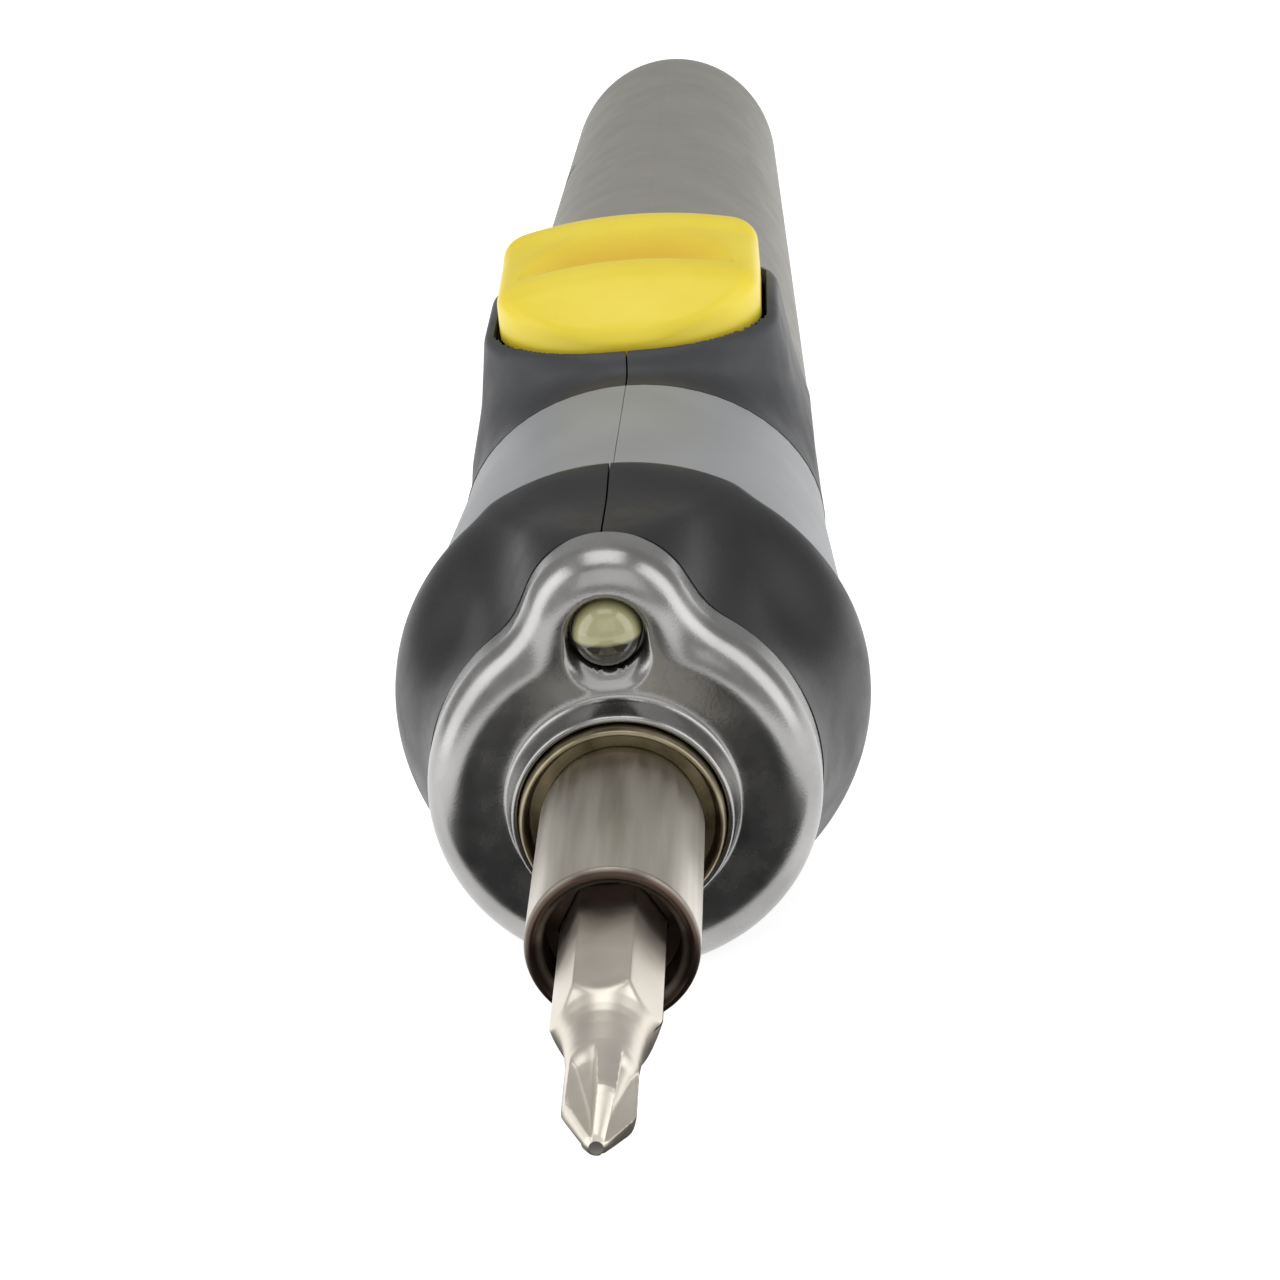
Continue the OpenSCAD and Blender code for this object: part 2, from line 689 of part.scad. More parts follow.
module ring_gear() {
    pitch = ring_z * gear_m / 2;
    root = pitch + gear_m * 1.25;
    tip = pitch - gear_m * 0.9;
    step = 360 / ring_z;
    color([0.5, 0.5, 0.52]) axial(cover_end + 0.02) linear_extrude(height = ring_end - cover_end - 0.04) difference() {
        circle(r = gearbox_r);
        polygon([for (i = [0:ring_z - 1]) for (side = [-1, 1]) for (k = [0:2])
            let (r = [tip, pitch, root][side < 0 ? k : 2 - k], a = (i + 0.5) * step + side * space_half(r))
            [r * cos(a), r * sin(a)]]);
    }
}
// Half the angle of the ring's tooth space, which has the flanks of an outer tooth
function space_half(r) = tooth_half(max(r, ring_z * gear_m / 2 * cos(press_angle)), ring_z, -backlash);

module gearbox_cover() {
    color([0.55, 0.55, 0.57]) difference() {
        union() {
            tube(cover_at, cover_end, gearbox_r);
            tube(boss_at, cover_end, spindle_r + 3.4);
        }
        tube(boss_at - 1, cover_end + 1, spindle_r + 1.6 + seat_gap);
    }
}

module motor_plate() {
    color([0.55, 0.55, 0.57]) difference() {
        tube(ring_end + 0.02, ring_end + plate_t, gearbox_r);
        tube(ring_end - 1, ring_end + 3, 3 + seat_gap);
        for (x = [-1, 1]) translate([x * 6, 0, 0]) tube(ring_end - 1, ring_end + 3, screw_r + 0.1);
        for (x = [-1, 1]) translate([x * 6, 0, 0]) tube(ring_end - 1, ring_end + 0.8, head_r + 0.1);
    }
}

module output_carrier() {
    side = spindle_r * 1.34 + 2 * seat_gap;
    color([0.65, 0.62, 0.55]) difference() {
        tube(out_disc_at, out_disc_at + out_disc_t, orbit_r + out_pin_r + 1.9);
        block(out_disc_at - 1, out_disc_at + out_disc_t + 1, side, -side / 2, side / 2);
        planet_pins(out_disc_at + 0.8, out_disc_at + out_disc_t + 1, out_pin_r + 0.02);
    }
}

module output_planet_pins() {
    color([0.8, 0.8, 0.8]) planet_pins(out_disc_at + 0.82, in_disc_at - free_gap / 2, out_pin_r);
}

module output_planet(i) {
    color([0.72, 0.7, 0.62]) planet(i, out_planet_at, out_face, out_pin_r + run_gap);
}

module input_carrier() {
    color([0.65, 0.62, 0.55]) difference() {
        tube(in_disc_at, in_disc_at + in_disc_t, orbit_r + in_pin_r + 1.9);
        tube(in_disc_at - 1, in_disc_at + in_disc_t + 1, 1.5 + 0.02);
        planet_pins(in_disc_at + 0.6, in_disc_at + in_disc_t + 1, in_pin_r + 0.02);
    }
}

module output_sun() {
    color([0.8, 0.76, 0.62]) union() {
        axial(out_planet_at) linear_extrude(height = in_disc_at - out_planet_at - 0.02) spur(sun_z);
        tube(in_disc_at - 0.03, in_disc_at + in_disc_t, 1.5);
    }
}

module input_planet_pins() {
    color([0.8, 0.8, 0.8]) planet_pins(in_disc_at + 0.62, ring_end - free_gap / 2, in_pin_r);
}

module input_planet(i) {
    color([0.72, 0.7, 0.62]) planet(i, in_planet_at, in_face, in_pin_r + run_gap);
}

module motor_pinion() {
    color([0.85, 0.75, 0.45]) axial(in_planet_at) difference() {
        linear_extrude(height = in_face + free_gap / 2) spur(sun_z);
        translate([0, 0, -1]) cylinder(h = in_face + 3, r = shaft_r + 0.01);
    }
}

module motor_shaft() {
    color([0.8, 0.8, 0.82]) tube(in_planet_at + 0.2, motor_end - 0.6, shaft_r);
}

module armature() {
    color([0.45, 0.3, 0.2]) difference() {
        tube(winding_at, winding_end, armature_r, shaft_r + 0.01);
        for (i = [0:2]) axial(winding_at - 1) rotate(i * 120) translate([armature_r, 0, 0])
            cylinder(h = big / 2, r = armature_r * 0.28);
    }
}

module commutator() {
    color([0.75, 0.45, 0.25]) tube(winding_end + 0.2, motor_end - 4, 2.6, shaft_r + 0.01);
}

module motor_can() {
    color([0.7, 0.7, 0.7]) union() {
        difference() {
            motor_solid(motor_at, motor_end, 0);
            motor_solid(motor_at + can_t, motor_end + 1, can_t);
            tube(motor_at - 1, motor_at + 2, shaft_r + run_gap);
            for (x = [-1, 1]) translate([x * 6, 0, 0]) tube(motor_at - 1, motor_at + 1, screw_r + 0.02);
        }
        tube(motor_at - plate_t + 0.1, motor_at + 0.01, 3, shaft_r + run_gap);
        tube(motor_at + can_t - 0.01, motor_at + 3.4, 2.6, shaft_r + run_gap);
    }
}

module motor_solid(s0, s1, skin) {
    intersection() {
        tube(s0, s1, motor_r - skin);
        block(s0, s1, 4 * motor_r, -motor_flat / 2 + skin, motor_flat / 2 - skin);
    }
}

module motor_magnets() {
    color([0.25, 0.25, 0.27]) intersection() {
        tube(winding_at - 1, winding_end + 1, motor_r - can_t - seat_gap, armature_r + free_gap);
        union() for (x = [-1, 1]) translate([x * motor_r, 0, 0]) block(motor_at + 3, motor_end, motor_r + 2, -5, 5);
    }
}

module motor_brushes() {
    color([0.3, 0.28, 0.26]) for (x = [-1, 1]) translate([x * 4.6, 0, 0])
        block(motor_end - 7.4, motor_end - 2.2 - seat_gap, 3.2, -1.3, 1.3);
}

module motor_end_cap() {
    color([0.15, 0.15, 0.16]) difference() {
        union() {
            motor_solid(motor_end - 2.2, motor_end - 0.02, can_t + seat_gap);
            tube(motor_end - 3.4, motor_end, 2.6);
        }
        tube(motor_end - 4, motor_end - 0.5, shaft_r + run_gap);
    }
}

module motor_terminals() {
    color([0.8, 0.7, 0.4]) for (x = [-1, 1]) translate([x * 6.5, 0, 0])
        block(motor_end + 0.02, motor_end + 4.5, 0.5, -1.4, 1.4);
}

module motor_screws() {
    color([0.5, 0.5, 0.52]) for (x = [-1, 1]) translate([x * 6, 0, 0]) {
        tube(ring_end + 0.06, ring_end + 0.78, head_r);
        tube(ring_end + 0.7, motor_at + can_t + 0.6, screw_r);
    }
}

// Side view of the button as points of [distance from its front edge, height]
button_side = let (e = button_len, d = crest_z - dish_depth) [
    [0, button_z], [0, button_z + 1.4], [0.8, button_z + 2.6], [3, crest_z - 1.9], [5.6, crest_z - 0.6],
    [7.6, crest_z - 0.05], [8.7, crest_z], [9.6, crest_z - 0.3], [11, d + 0.2], [12.4, d], [14.2, d + 0.3],
    [e - 7, lip_z - 0.5], [e - 4.6, lip_z], [e - 2.6, lip_z - 0.3], [e - 0.9, lip_z - 1.3], [e, lip_z - 3.2],
    [e, button_z]];

module rocker_button() {
    roof = hinge_z + 3;
    color([0.93, 0.85, 0.3]) union() {
        difference() {
            intersection() {
                linear_extrude(height = 60) button_plan();
                translate([-button_w, nose_y + button_at, 0]) rotate([90, 0, 90])
                    linear_extrude(height = 2 * button_w) polygon(button_side);
                translate([0, nose_y + hinge_y, lip_z + 0.3 - 42]) rotate([90, 0, 0])
                    cylinder(h = 2 * button_len, r = 42, center = true);
            }
            difference() {
                linear_extrude(height = roof) button_plan(-1.5);
                block(button_at, button_at + button_len, 2 * (ear_x - free_gap), 0, 40);
            }
            block(button_at + 2, hinge_y - 3.2, 2 * ear_x, 0, roof - 1);
            block(hinge_y + 3.2, button_at + button_len - 2, 2 * ear_x, 0, roof);
            hinge_hole();
        }
        difference() {
            union() {
                translate([0, nose_y + hinge_y, hinge_z]) rotate([0, 90, 0])
                    cylinder(h = 2 * (ear_x - free_gap), r = 2.2, center = true);
                block(hinge_y - 2.2, hinge_y + 2.2, 2 * (ear_x - free_gap), hinge_z, roof + 0.5);
                block(hinge_y - finger_t / 2, hinge_y + finger_t / 2, finger_w, switch_z + switch_h + free_gap, hinge_z);
            }
            hinge_hole();
        }
    }
}

module hinge_hole() {
    translate([0, nose_y + hinge_y, hinge_z]) rotate([0, 90, 0])
        cylinder(h = 2 * ear_x + 2, r = pin_r + run_gap, center = true);
}

module rocker_pin() {
    color([0.8, 0.8, 0.8]) translate([0, nose_y + hinge_y, hinge_z]) rotate([0, 90, 0])
        cylinder(h = 2 * (ear_x + ear_t), r = pin_r, center = true);
}

module switch_body() {
    color([0.15, 0.15, 0.16])
        block(hinge_y - switch_len / 2, hinge_y + switch_len / 2, switch_w, switch_z, switch_z + switch_h);
}

module switch_slider() {
    z0 = switch_z + switch_h + 0.05;
    color([0.8, 0.8, 0.78]) difference() {
        block(hinge_y - 3, hinge_y + 3, slider_w, z0, z0 + slider_h);
        block(hinge_y - finger_t / 2 - 0.12, hinge_y + finger_t / 2 + 0.12, finger_w + 0.6, z0 + 0.1, z0 + 9);
    }
}

module control_board() {
    color([0.12, 0.35, 0.2]) block(motor_at + 2.4, motor_end - 2.4, board_w, board_z, board_z + board_t);
}

module board_parts() {
    top = board_z + board_t + 0.02;
    color([0.1, 0.1, 0.1]) {
        block(motor_at + 8, motor_at + 13, 6, top, top + 0.9);
        block(motor_at + 17, motor_at + 20, 4, top, top + 0.8);
        for (x = [-4, 0, 4]) translate([x, 0, 0]) block(motor_at + 22, motor_at + 23.2, 2, top, top + 0.7);
    }
}

module battery_cell() {
    color([0.2, 0.45, 0.6]) union() {
        axial(cell_at) rotate_extrude() polygon([[0, 0], [cell_r - 0.5, 0], [cell_r, 0.5], [cell_r, cell_len - 0.5],
            [cell_r - 0.5, cell_len], [0, cell_len]]);
        tube(cell_at - 0.8, cell_at + 0.01, 3);
    }
}

module battery_tabs() {
    color([0.75, 0.75, 0.76]) {
        block(cell_at - 1.15, cell_at - 0.82, 6, -5.5, 5.5);
        block(cell_end + 0.02, cell_end + 0.35, 6, -7.5, 7.5);
    }
}

module charge_jack() {
    color([0.12, 0.12, 0.12]) difference() {
        union() {
            block(jack_back, jack_front, jack_w, -jack_w / 2, jack_w / 2);
            tube(jack_front - 0.01, jack_mouth, jack_r + 0.75);
        }
        tube(jack_mouth - jack_depth, body_end + 1, jack_r);
    }
}

module charge_board() {
    side = jack_w + 1;
    color([0.12, 0.35, 0.2])
        block(jack_back - seat_gap - board_t, jack_back - seat_gap, side, -side / 2, side / 2);
}

module housing_screws() {
    color([0.4, 0.4, 0.42]) for (p = screw_places) translate([0, nose_y + p[0], p[1]]) rotate([0, 90, 0])
        difference() {
            union() {
                translate([0, 0, -head_x(p) - head_h]) cylinder(h = head_h - 0.03, r = head_r);
                translate([0, 0, -head_x(p) - 0.1]) cylinder(h = head_x(p) + screw_past, r = screw_r);
            }
            translate([0, 0, -head_x(p) - head_h - 0.01]) {
                translate([-0.35, -1.3, 0]) cube([0.7, 2.6, 0.9]);
                translate([-1.3, -0.35, 0]) cube([2.6, 0.7, 0.9]);
            }
        }
}

screwdriver_bit();
bit_holder();
socket_magnet();
spindle_clip();
thrust_washer();
nose_cap();
front_bushing();
rear_bushing();
work_light_led();
led_board();
left_housing();
right_housing();
left_front_collar();
right_front_collar();
left_grip();
right_grip();
gearbox_cover();
ring_gear();
motor_plate();
output_carrier();
output_planet_pins();
output_planet(0);  // output_planet_1
output_planet(1);  // output_planet_2
output_planet(2);  // output_planet_3
input_carrier();
output_sun();
input_planet_pins();
input_planet(0);  // input_planet_1
input_planet(1);  // input_planet_2
input_planet(2);  // input_planet_3
motor_pinion();
motor_shaft();
armature();
commutator();
motor_can();
motor_magnets();
motor_brushes();
motor_end_cap();
motor_terminals();
motor_screws();
rocker_button();
rocker_pin();
switch_body();
switch_slider();
control_board();
board_parts();
battery_cell();
battery_tabs();
charge_jack();
charge_board();
housing_screws();
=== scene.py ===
# %% [markdown]
# # Electric screwdriver
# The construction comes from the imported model, which is loaded as a fixed frame. This lesson dresses what
# can be seen: the moulded rubber, the chromed nose, the lamp, the bronze bushing, the steel holder and bit,
# and the yellow rocker. The hidden gears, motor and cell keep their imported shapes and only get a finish.

# %% Load the frame
import math

import bpy
import numpy as np
from mathutils import Matrix, Vector


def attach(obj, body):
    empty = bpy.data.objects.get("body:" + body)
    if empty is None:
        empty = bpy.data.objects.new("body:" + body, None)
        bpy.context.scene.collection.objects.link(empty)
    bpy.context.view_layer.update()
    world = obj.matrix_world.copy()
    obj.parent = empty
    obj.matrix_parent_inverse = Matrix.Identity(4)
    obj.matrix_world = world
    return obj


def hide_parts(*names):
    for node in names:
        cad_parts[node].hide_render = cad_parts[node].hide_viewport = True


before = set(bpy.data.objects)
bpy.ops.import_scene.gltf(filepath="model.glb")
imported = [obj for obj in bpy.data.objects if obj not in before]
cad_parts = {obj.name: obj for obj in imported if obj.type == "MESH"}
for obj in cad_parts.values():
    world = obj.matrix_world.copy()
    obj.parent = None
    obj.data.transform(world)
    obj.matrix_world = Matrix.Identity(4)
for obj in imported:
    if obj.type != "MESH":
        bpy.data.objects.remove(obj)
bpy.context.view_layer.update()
print("packed nodes:", len(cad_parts))

# %% [markdown]
# The photograph was measured in millimetres behind the nose's face. The frame is in metres, with its zero
# at the mouth of the bit holder, so one small function turns the one distance into the other. A few sizes
# are shared by several pieces and stand here too.

# %% Units and shared sizes
MM = 0.001
NOSE = 22.65          # the nose's face stands this far behind the holder's mouth
CAP_RADIUS = 14.4
BUMP_HEIGHT, BUMP_RADIUS = 12.7, 6.3
LAMP_HEIGHT, LAMP_RADIUS = 13.1, 2.5
KEEL_BOTTOM = 15.6    # below the axis
RIM_HEIGHT = 16.9     # of the saddle round the rocker
ROCKER_FRONT, ROCKER_REAR = 54.6, 78.6
DISH_HALF_WIDTH = 9.4
PARTING_GAP = 0.07
POCKET_RADIUS = 2.25  # the sunk holes of the housing screws
WELD = 0.002 * MM     # points closer than this are one point


def at(s):
    return (s + NOSE) * MM


def clear_selection():
    if bpy.context.object and bpy.context.object.mode != "OBJECT":
        bpy.ops.object.mode_set(mode="OBJECT")
    bpy.ops.object.select_all(action="DESELECT")


def pick(piece):
    clear_selection()
    piece.select_set(True)
    bpy.context.view_layer.objects.active = piece


# %% [markdown]
# The camera stands in front of the bit, a little above it and to its right, as the photograph's did. Its
# place came from fitting seven circles round the nose, so the lens is long and the view is from close by.

# %% Camera
camera_data = bpy.data.cameras.new("camera")
camera_data.sensor_width = 36
camera_data.lens = 98.4375
camera_data.clip_start = 0.01
camera = bpy.data.objects.new("camera", camera_data)
bpy.context.scene.collection.objects.link(camera)
camera_place = (0.0181, -0.2053, 0.1054)
view_line = Vector((-0.0638, 0.9246, -0.3761)).normalized()
view_right = Vector((0.9952, 0.0300, -0.0946))
view_right = (view_right - view_right.dot(view_line) * view_line).normalized()
view_up = view_right.cross(view_line)
turn = Matrix((view_right, view_up, -view_line)).transposed()
camera.matrix_world = Matrix.Translation(camera_place) @ turn.to_4x4()
bpy.context.scene.camera = camera
print("camera at", [round(c, 4) for c in camera.location])

# %% [markdown]
# The stage is a pale floor that the keel rests on, with large soft lights at both sides, overhead and in
# front. A dark card lies below and in front of the nose where only mirrors see it, as a photographer would
# place one, so that the flat chrome face turns dark while its round shoulder stays bright.

# %% Stage and light
def soft_light(name, place, aim, size, power):
    data = bpy.data.lights.new(name, "AREA")
    data.shape = "RECTANGLE"
    data.size, data.size_y = size
    data.energy = power
    light = bpy.data.objects.new(name, data)
    bpy.context.scene.collection.objects.link(light)
    light.location = place
    light.rotation_euler = (Vector(aim) - Vector(place)).to_track_quat("-Z", "Y").to_euler()


def stage_plane(name, size, place):
    clear_selection()
    bpy.ops.mesh.primitive_plane_add(size=size, location=place)
    bpy.context.object.name = name
    return bpy.context.object


soft_light("left_softbox", (-0.42, -0.02, 0.2), (0, 0.07, 0), (0.3, 0.5), 0.75)
soft_light("right_softbox", (0.42, 0.0, 0.22), (0, 0.07, 0), (0.3, 0.5), 0.75)
soft_light("overhead_softbox", (0, 0.15, 0.6), (0, 0.08, 0), (0.4, 0.5), 0.9)
soft_light("front_softbox", (0.05, -0.45, 0.42), (0, 0.02, 0), (0.7, 0.5), 0.7)
world = bpy.data.worlds.new("studio")
bpy.context.scene.world = world
world.use_nodes = True
world.node_tree.nodes["Background"].inputs["Color"].default_value = (1, 1, 1, 1)
world.node_tree.nodes["Background"].inputs["Strength"].default_value = 0.4
bpy.context.scene.view_settings.view_transform = "Standard"

floor = stage_plane("floor", 20, (0, 0.4, -0.0157))
dark_card = stage_plane("dark_card", 0.08, (0, -0.05, -0.0152))
dark_card.scale = (1, 1.65, 1)
dark_card.visible_camera = dark_card.visible_diffuse = dark_card.visible_shadow = False

# %% [markdown]
# A finish is never one flat colour. Each material mixes two tones in soft patches, lets the roughness
# wander a little, and raises a fine grain. The grain's size is given in millimetres, since a pattern that
# is too coarse makes a small tool look huge.

# %% Materials: the shared recipe
def tone(*colour):
    """A colour as a screen shows it, 0 to 255, turned into the linear values of the renderer."""
    return tuple(c / 255 / 12.92 if c < 10.3 else ((c / 255 + 0.055) / 1.055) ** 2.4 for c in colour) + (1,)


class Finish:
    """A procedural material that is wired up step by step."""

    def __init__(self, name, metal=0.0, coat=0.0):
        self.material = bpy.data.materials.new(name)
        self.material.use_nodes = True
        self.tree = self.material.node_tree
        self.shader = self.tree.nodes["Principled BSDF"]
        self.shader.inputs["Metallic"].default_value = metal
        self.shader.inputs["Coat Weight"].default_value = coat
        self.place = self.add("ShaderNodeTexCoord").outputs["Object"]

    def add(self, kind, **settings):
        node = self.tree.nodes.new(kind)
        for name, value in settings.items():
            setattr(node, name, value)
        return node

    def join(self, source, target):
        self.tree.links.new(source, target)

    def noise(self, size_mm, detail=2.0, stretch=(1, 1, 1)):
        """Noise whose lumps are about size_mm across, drawn out along an axis by stretch."""
        node = self.add("ShaderNodeTexNoise")
        node.inputs["Scale"].default_value = 1 / (size_mm * MM)
        node.inputs["Detail"].default_value = detail
        mapping = self.add("ShaderNodeMapping")
        mapping.inputs["Scale"].default_value = stretch
        self.join(self.place, mapping.inputs["Vector"])
        self.join(mapping.outputs["Vector"], node.inputs["Vector"])
        return node.outputs["Fac"]

    def spread(self, value, low, high, to_low, to_high):
        """The value, stretched and clipped from the range low to high onto the range to_low to to_high."""
        node = self.add("ShaderNodeMapRange")
        for slot, number in zip((1, 2, 3, 4), (low, high, to_low, to_high)):
            node.inputs[slot].default_value = number
        self.join(value, node.inputs[0])
        return node.outputs[0]

    def patches(self, size_mm, detail=4, stretch=(1, 1, 1)):
        """Soft patches between 0 and 1."""
        return self.spread(self.noise(size_mm, detail, stretch), 0.35, 0.65, 0, 1)

    def mix(self, share, first, second):
        node = self.add("ShaderNodeMix", data_type="RGBA")
        self.join(share, node.inputs[0])
        for slot, colour in ((6, first), (7, second)):
            if isinstance(colour, tuple):
                node.inputs[slot].default_value = colour
            else:
                self.join(colour, node.inputs[slot])
        return node.outputs[2]

    def combine(self, operation, *values):
        """All the values put together by one arithmetic operation."""
        result = values[0]
        for value in values[1:]:
            node = self.add("ShaderNodeMath", operation=operation)
            self.join(result, node.inputs[0])
            self.join(value, node.inputs[1])
            result = node.outputs[0]
        return result

    def square(self, axis):
        return self.combine("MULTIPLY", self.along(axis), self.along(axis))

    def along(self, axis):
        node = self.add("ShaderNodeSeparateXYZ")
        self.join(self.place, node.inputs[0])
        return node.outputs[axis]

    def colour(self, source):
        self.join(source, self.shader.inputs["Base Color"])

    def rough(self, low, high, size_mm=1.5, stretch=(1, 1, 1)):
        wander = self.spread(self.noise(size_mm, 3, stretch), 0.3, 0.7, low, high)
        self.join(wander, self.shader.inputs["Roughness"])

    def grain(self, size_mm, depth_mm, strength=0.4, stretch=(1, 1, 1)):
        bump = self.add("ShaderNodeBump")
        bump.inputs["Strength"].default_value = strength
        bump.inputs["Distance"].default_value = depth_mm * MM
        self.join(self.noise(size_mm, 2, stretch), bump.inputs["Height"])
        self.join(bump.outputs["Normal"], self.shader.inputs["Normal"])


def patchy(name, dark, light, rough, grain, patch_mm=4, metal=0.0):
    """A finish of two tones. rough is its range of roughness, grain the grain's size, depth and strength."""
    finish = Finish(name, metal)
    finish.colour(finish.mix(finish.patches(patch_mm), tone(*dark), tone(*light)))
    finish.rough(*rough, size_mm=patch_mm / 2)
    finish.grain(*grain)
    return finish


# %% [markdown]
# The stage's own two finishes come first: a light grey floor that glows softly, with a trace of paper
# grain, and the card's matt black.

# %% Finishes of the stage
floor_finish = patchy("pale_paper", (200, 200, 200), (206, 206, 206), (0.8, 0.9), (0.8, 0.02, 0.1), 30)
floor_finish.shader.inputs["Emission Color"].default_value = (1, 1, 1, 1)
floor_finish.shader.inputs["Emission Strength"].default_value = 0.8
floor.data.materials.append(floor_finish.material)
card_finish = patchy("black_card", (12, 12, 14), (18, 18, 20), (0.8, 0.9), (0.8, 0.02), 20)
dark_card.data.materials.append(card_finish.material)

# %% [markdown]
# Chrome over a cast nose is not a clean mirror: it has a fine frosted grain that sparkles on the round
# shoulder. The bit holder is worn nickel, with faint lengthwise streaks from sliding sleeves and a brown
# stain at its mouth. Its bore is painted the same brown as painted shade inside the hole. The bronze
# bushing is warm and slightly dull.

# %% Finishes of the metals
chrome = patchy("frosted_chrome", (152, 151, 150), (174, 173, 171), (0.22, 0.3), (0.2, 0.014, 0.5), 6, metal=1)
nickel = Finish("worn_nickel", metal=1)
streaks = nickel.patches(1.2, stretch=(1, 0.06, 1))
clean_nickel = nickel.mix(streaks, tone(196, 190, 178), tone(214, 208, 197))
mouth = nickel.spread(nickel.along(1), 0.0002, 0.0008, 1, 0)
# Painted shade: the bore behind the mouth is painted the stain's dark brown. This stands in for the shade deep
# inside the socket.
radius_squared = nickel.combine("ADD", nickel.square(0), nickel.square(2))
bore = nickel.spread(radius_squared, (4.5 * MM) ** 2, (5.2 * MM) ** 2, 1, 0)
mouth_stain_and_bore_shade = nickel.combine("MAXIMUM", mouth, bore)
nickel.colour(nickel.mix(mouth_stain_and_bore_shade, clean_nickel, tone(84, 70, 62)))
nickel.rough(0.32, 0.42, 1.0, (1, 0.1, 1))
nickel.grain(0.25, 0.004, 0.25, (1, 0.08, 1))
steel_bit = patchy("bead_blasted_steel", (220, 212, 199), (230, 223, 211), (0.34, 0.42), (0.12, 0.004, 0.3), 5,
                   metal=1)
bronze = patchy("oiled_bronze", (128, 117, 96), (158, 148, 124), (0.26, 0.38), (0.25, 0.006, 0.3), 2.5, metal=1)

# %% [markdown]
# The collar is black rubber with a spark-eroded grain. The handle's rubber is the same kind. It is dark on the
# saddle and painted paler along the back as painted sheen, the grazing reflection of the bright room on
# dark rubber, so its colour changes slowly along the tool. The grey plastic is lightly textured. The rocker
# is glossier. Its dish is painted a deeper yellow as painted shade, where the hollow shades itself and
# gathers its own reflected light. The lamp's resin is olive above and dark below.

# %% Finishes of the rubber and plastic
black_rubber = patchy("grained_black_rubber", (22, 22, 24), (28, 28, 30), (0.36, 0.46), (0.22, 0.03, 0.5), 6)
black_rubber.shader.inputs["Specular IOR Level"].default_value = 0.38
grip_rubber = Finish("grip_rubber_painted_sheen")
# Painted sheen: the back of the handle is painted a paler grey than the saddle. This stands in for the grazing
# reflection of the bright surroundings.
sheen_share = grip_rubber.spread(grip_rubber.along(1), at(66), at(92), 0, 1)
dark_patch = grip_rubber.patches(7)
saddle_tone = grip_rubber.mix(dark_patch, tone(46, 47, 50), tone(56, 57, 60))
painted_sheen_tone = grip_rubber.mix(dark_patch, tone(140, 137, 130), tone(145, 142, 135))
grip_rubber.colour(grip_rubber.mix(sheen_share, saddle_tone, painted_sheen_tone))
grip_rubber.rough(0.46, 0.58, 3)
grip_rubber.grain(0.25, 0.02, 0.35)
grey_plastic = patchy("textured_grey_plastic", (144, 146, 148), (150, 152, 154), (0.42, 0.52),
                      (0.3, 0.015, 0.3), 8)
yellow_plastic = Finish("satin_yellow_plastic")
# Painted shade: the finger dish is painted a deeper orange-yellow. This stands in for the self-shading and
# inter-reflection in the hollow.
dish_front = yellow_plastic.spread(yellow_plastic.along(1), at(63.5), at(63.9), 0, 1)
dish_rear = yellow_plastic.spread(yellow_plastic.along(1), at(66), at(72), 1, 0)
dish_sides = yellow_plastic.spread(yellow_plastic.square(0), 0, (DISH_HALF_WIDTH * MM) ** 2, 0.9, 0)
deep = yellow_plastic.combine("MULTIPLY", dish_front, dish_rear, dish_sides)
open_yellow = yellow_plastic.mix(yellow_plastic.patches(6, 3), tone(236, 212, 52), tone(240, 218, 64))
yellow_plastic.colour(yellow_plastic.mix(deep, open_yellow, tone(214, 163, 12)))
yellow_plastic.rough(0.34, 0.44, 3)
yellow_plastic.grain(0.5, 0.01, 0.25)
lamp_resin = Finish("lamp_resin", coat=0.6)
lower_part = lamp_resin.spread(lamp_resin.along(2), 0.0128, 0.0131, 1, 0)
resin = lamp_resin.mix(lamp_resin.noise(0.8, 3), tone(156, 153, 114), tone(170, 166, 126))
lamp_resin.colour(lamp_resin.mix(lower_part, resin, tone(52, 50, 42)))
lamp_resin.rough(0.08, 0.16, 1.0)
lamp_resin.grain(0.8, 0.01, 0.15)

# %% [markdown]
# Inside pieces show only when the tool is opened or looked into, but each has its own finish too: cut gear
# steel, sheet steel, copper, magnet black, circuit green and so on.

# %% Finishes of the inside pieces
INNER = {
    "steel": patchy("turned_steel", (160, 160, 162), (196, 196, 198), (0.2, 0.34), (0.2, 0.01), 2, metal=1),
    "dark_steel": patchy("blackened_steel", (58, 58, 60), (84, 84, 86), (0.3, 0.45), (0.2, 0.01), 2, metal=1),
    "gear_steel": patchy("cut_gear_steel", (150, 148, 144), (182, 180, 176), (0.25, 0.4), (0.15, 0.01), 1.5,
                         metal=1),
    "casing": patchy("cast_casing", (96, 98, 102), (120, 122, 126), (0.4, 0.55), (0.3, 0.02), 3, metal=1),
    "copper": patchy("lacquered_copper", (150, 78, 44), (196, 112, 66), (0.25, 0.4), (0.4, 0.05, 0.6), 0.8,
                     metal=1),
    "magnet": patchy("magnet_black", (38, 38, 40), (54, 54, 56), (0.55, 0.7), (0.2, 0.02), 2),
    "brush_carbon": patchy("brush_carbon", (30, 30, 32), (48, 48, 50), (0.5, 0.7), (0.15, 0.02), 1),
    "board_green": patchy("circuit_green", (16, 74, 40), (26, 98, 54), (0.25, 0.4), (0.6, 0.02), 2),
    "chip_black": patchy("chip_black", (24, 24, 26), (40, 40, 42), (0.35, 0.5), (0.2, 0.01), 1),
    "black_plastic": patchy("black_plastic", (26, 26, 28), (38, 38, 40), (0.35, 0.5), (0.3, 0.02), 3),
    "cell_wrap": patchy("cell_wrap", (36, 92, 120), (46, 108, 138), (0.25, 0.38), (0.8, 0.02), 6),
    "white_plastic": patchy("white_plastic", (214, 212, 206), (228, 226, 220), (0.35, 0.5), (0.3, 0.01), 3),
}
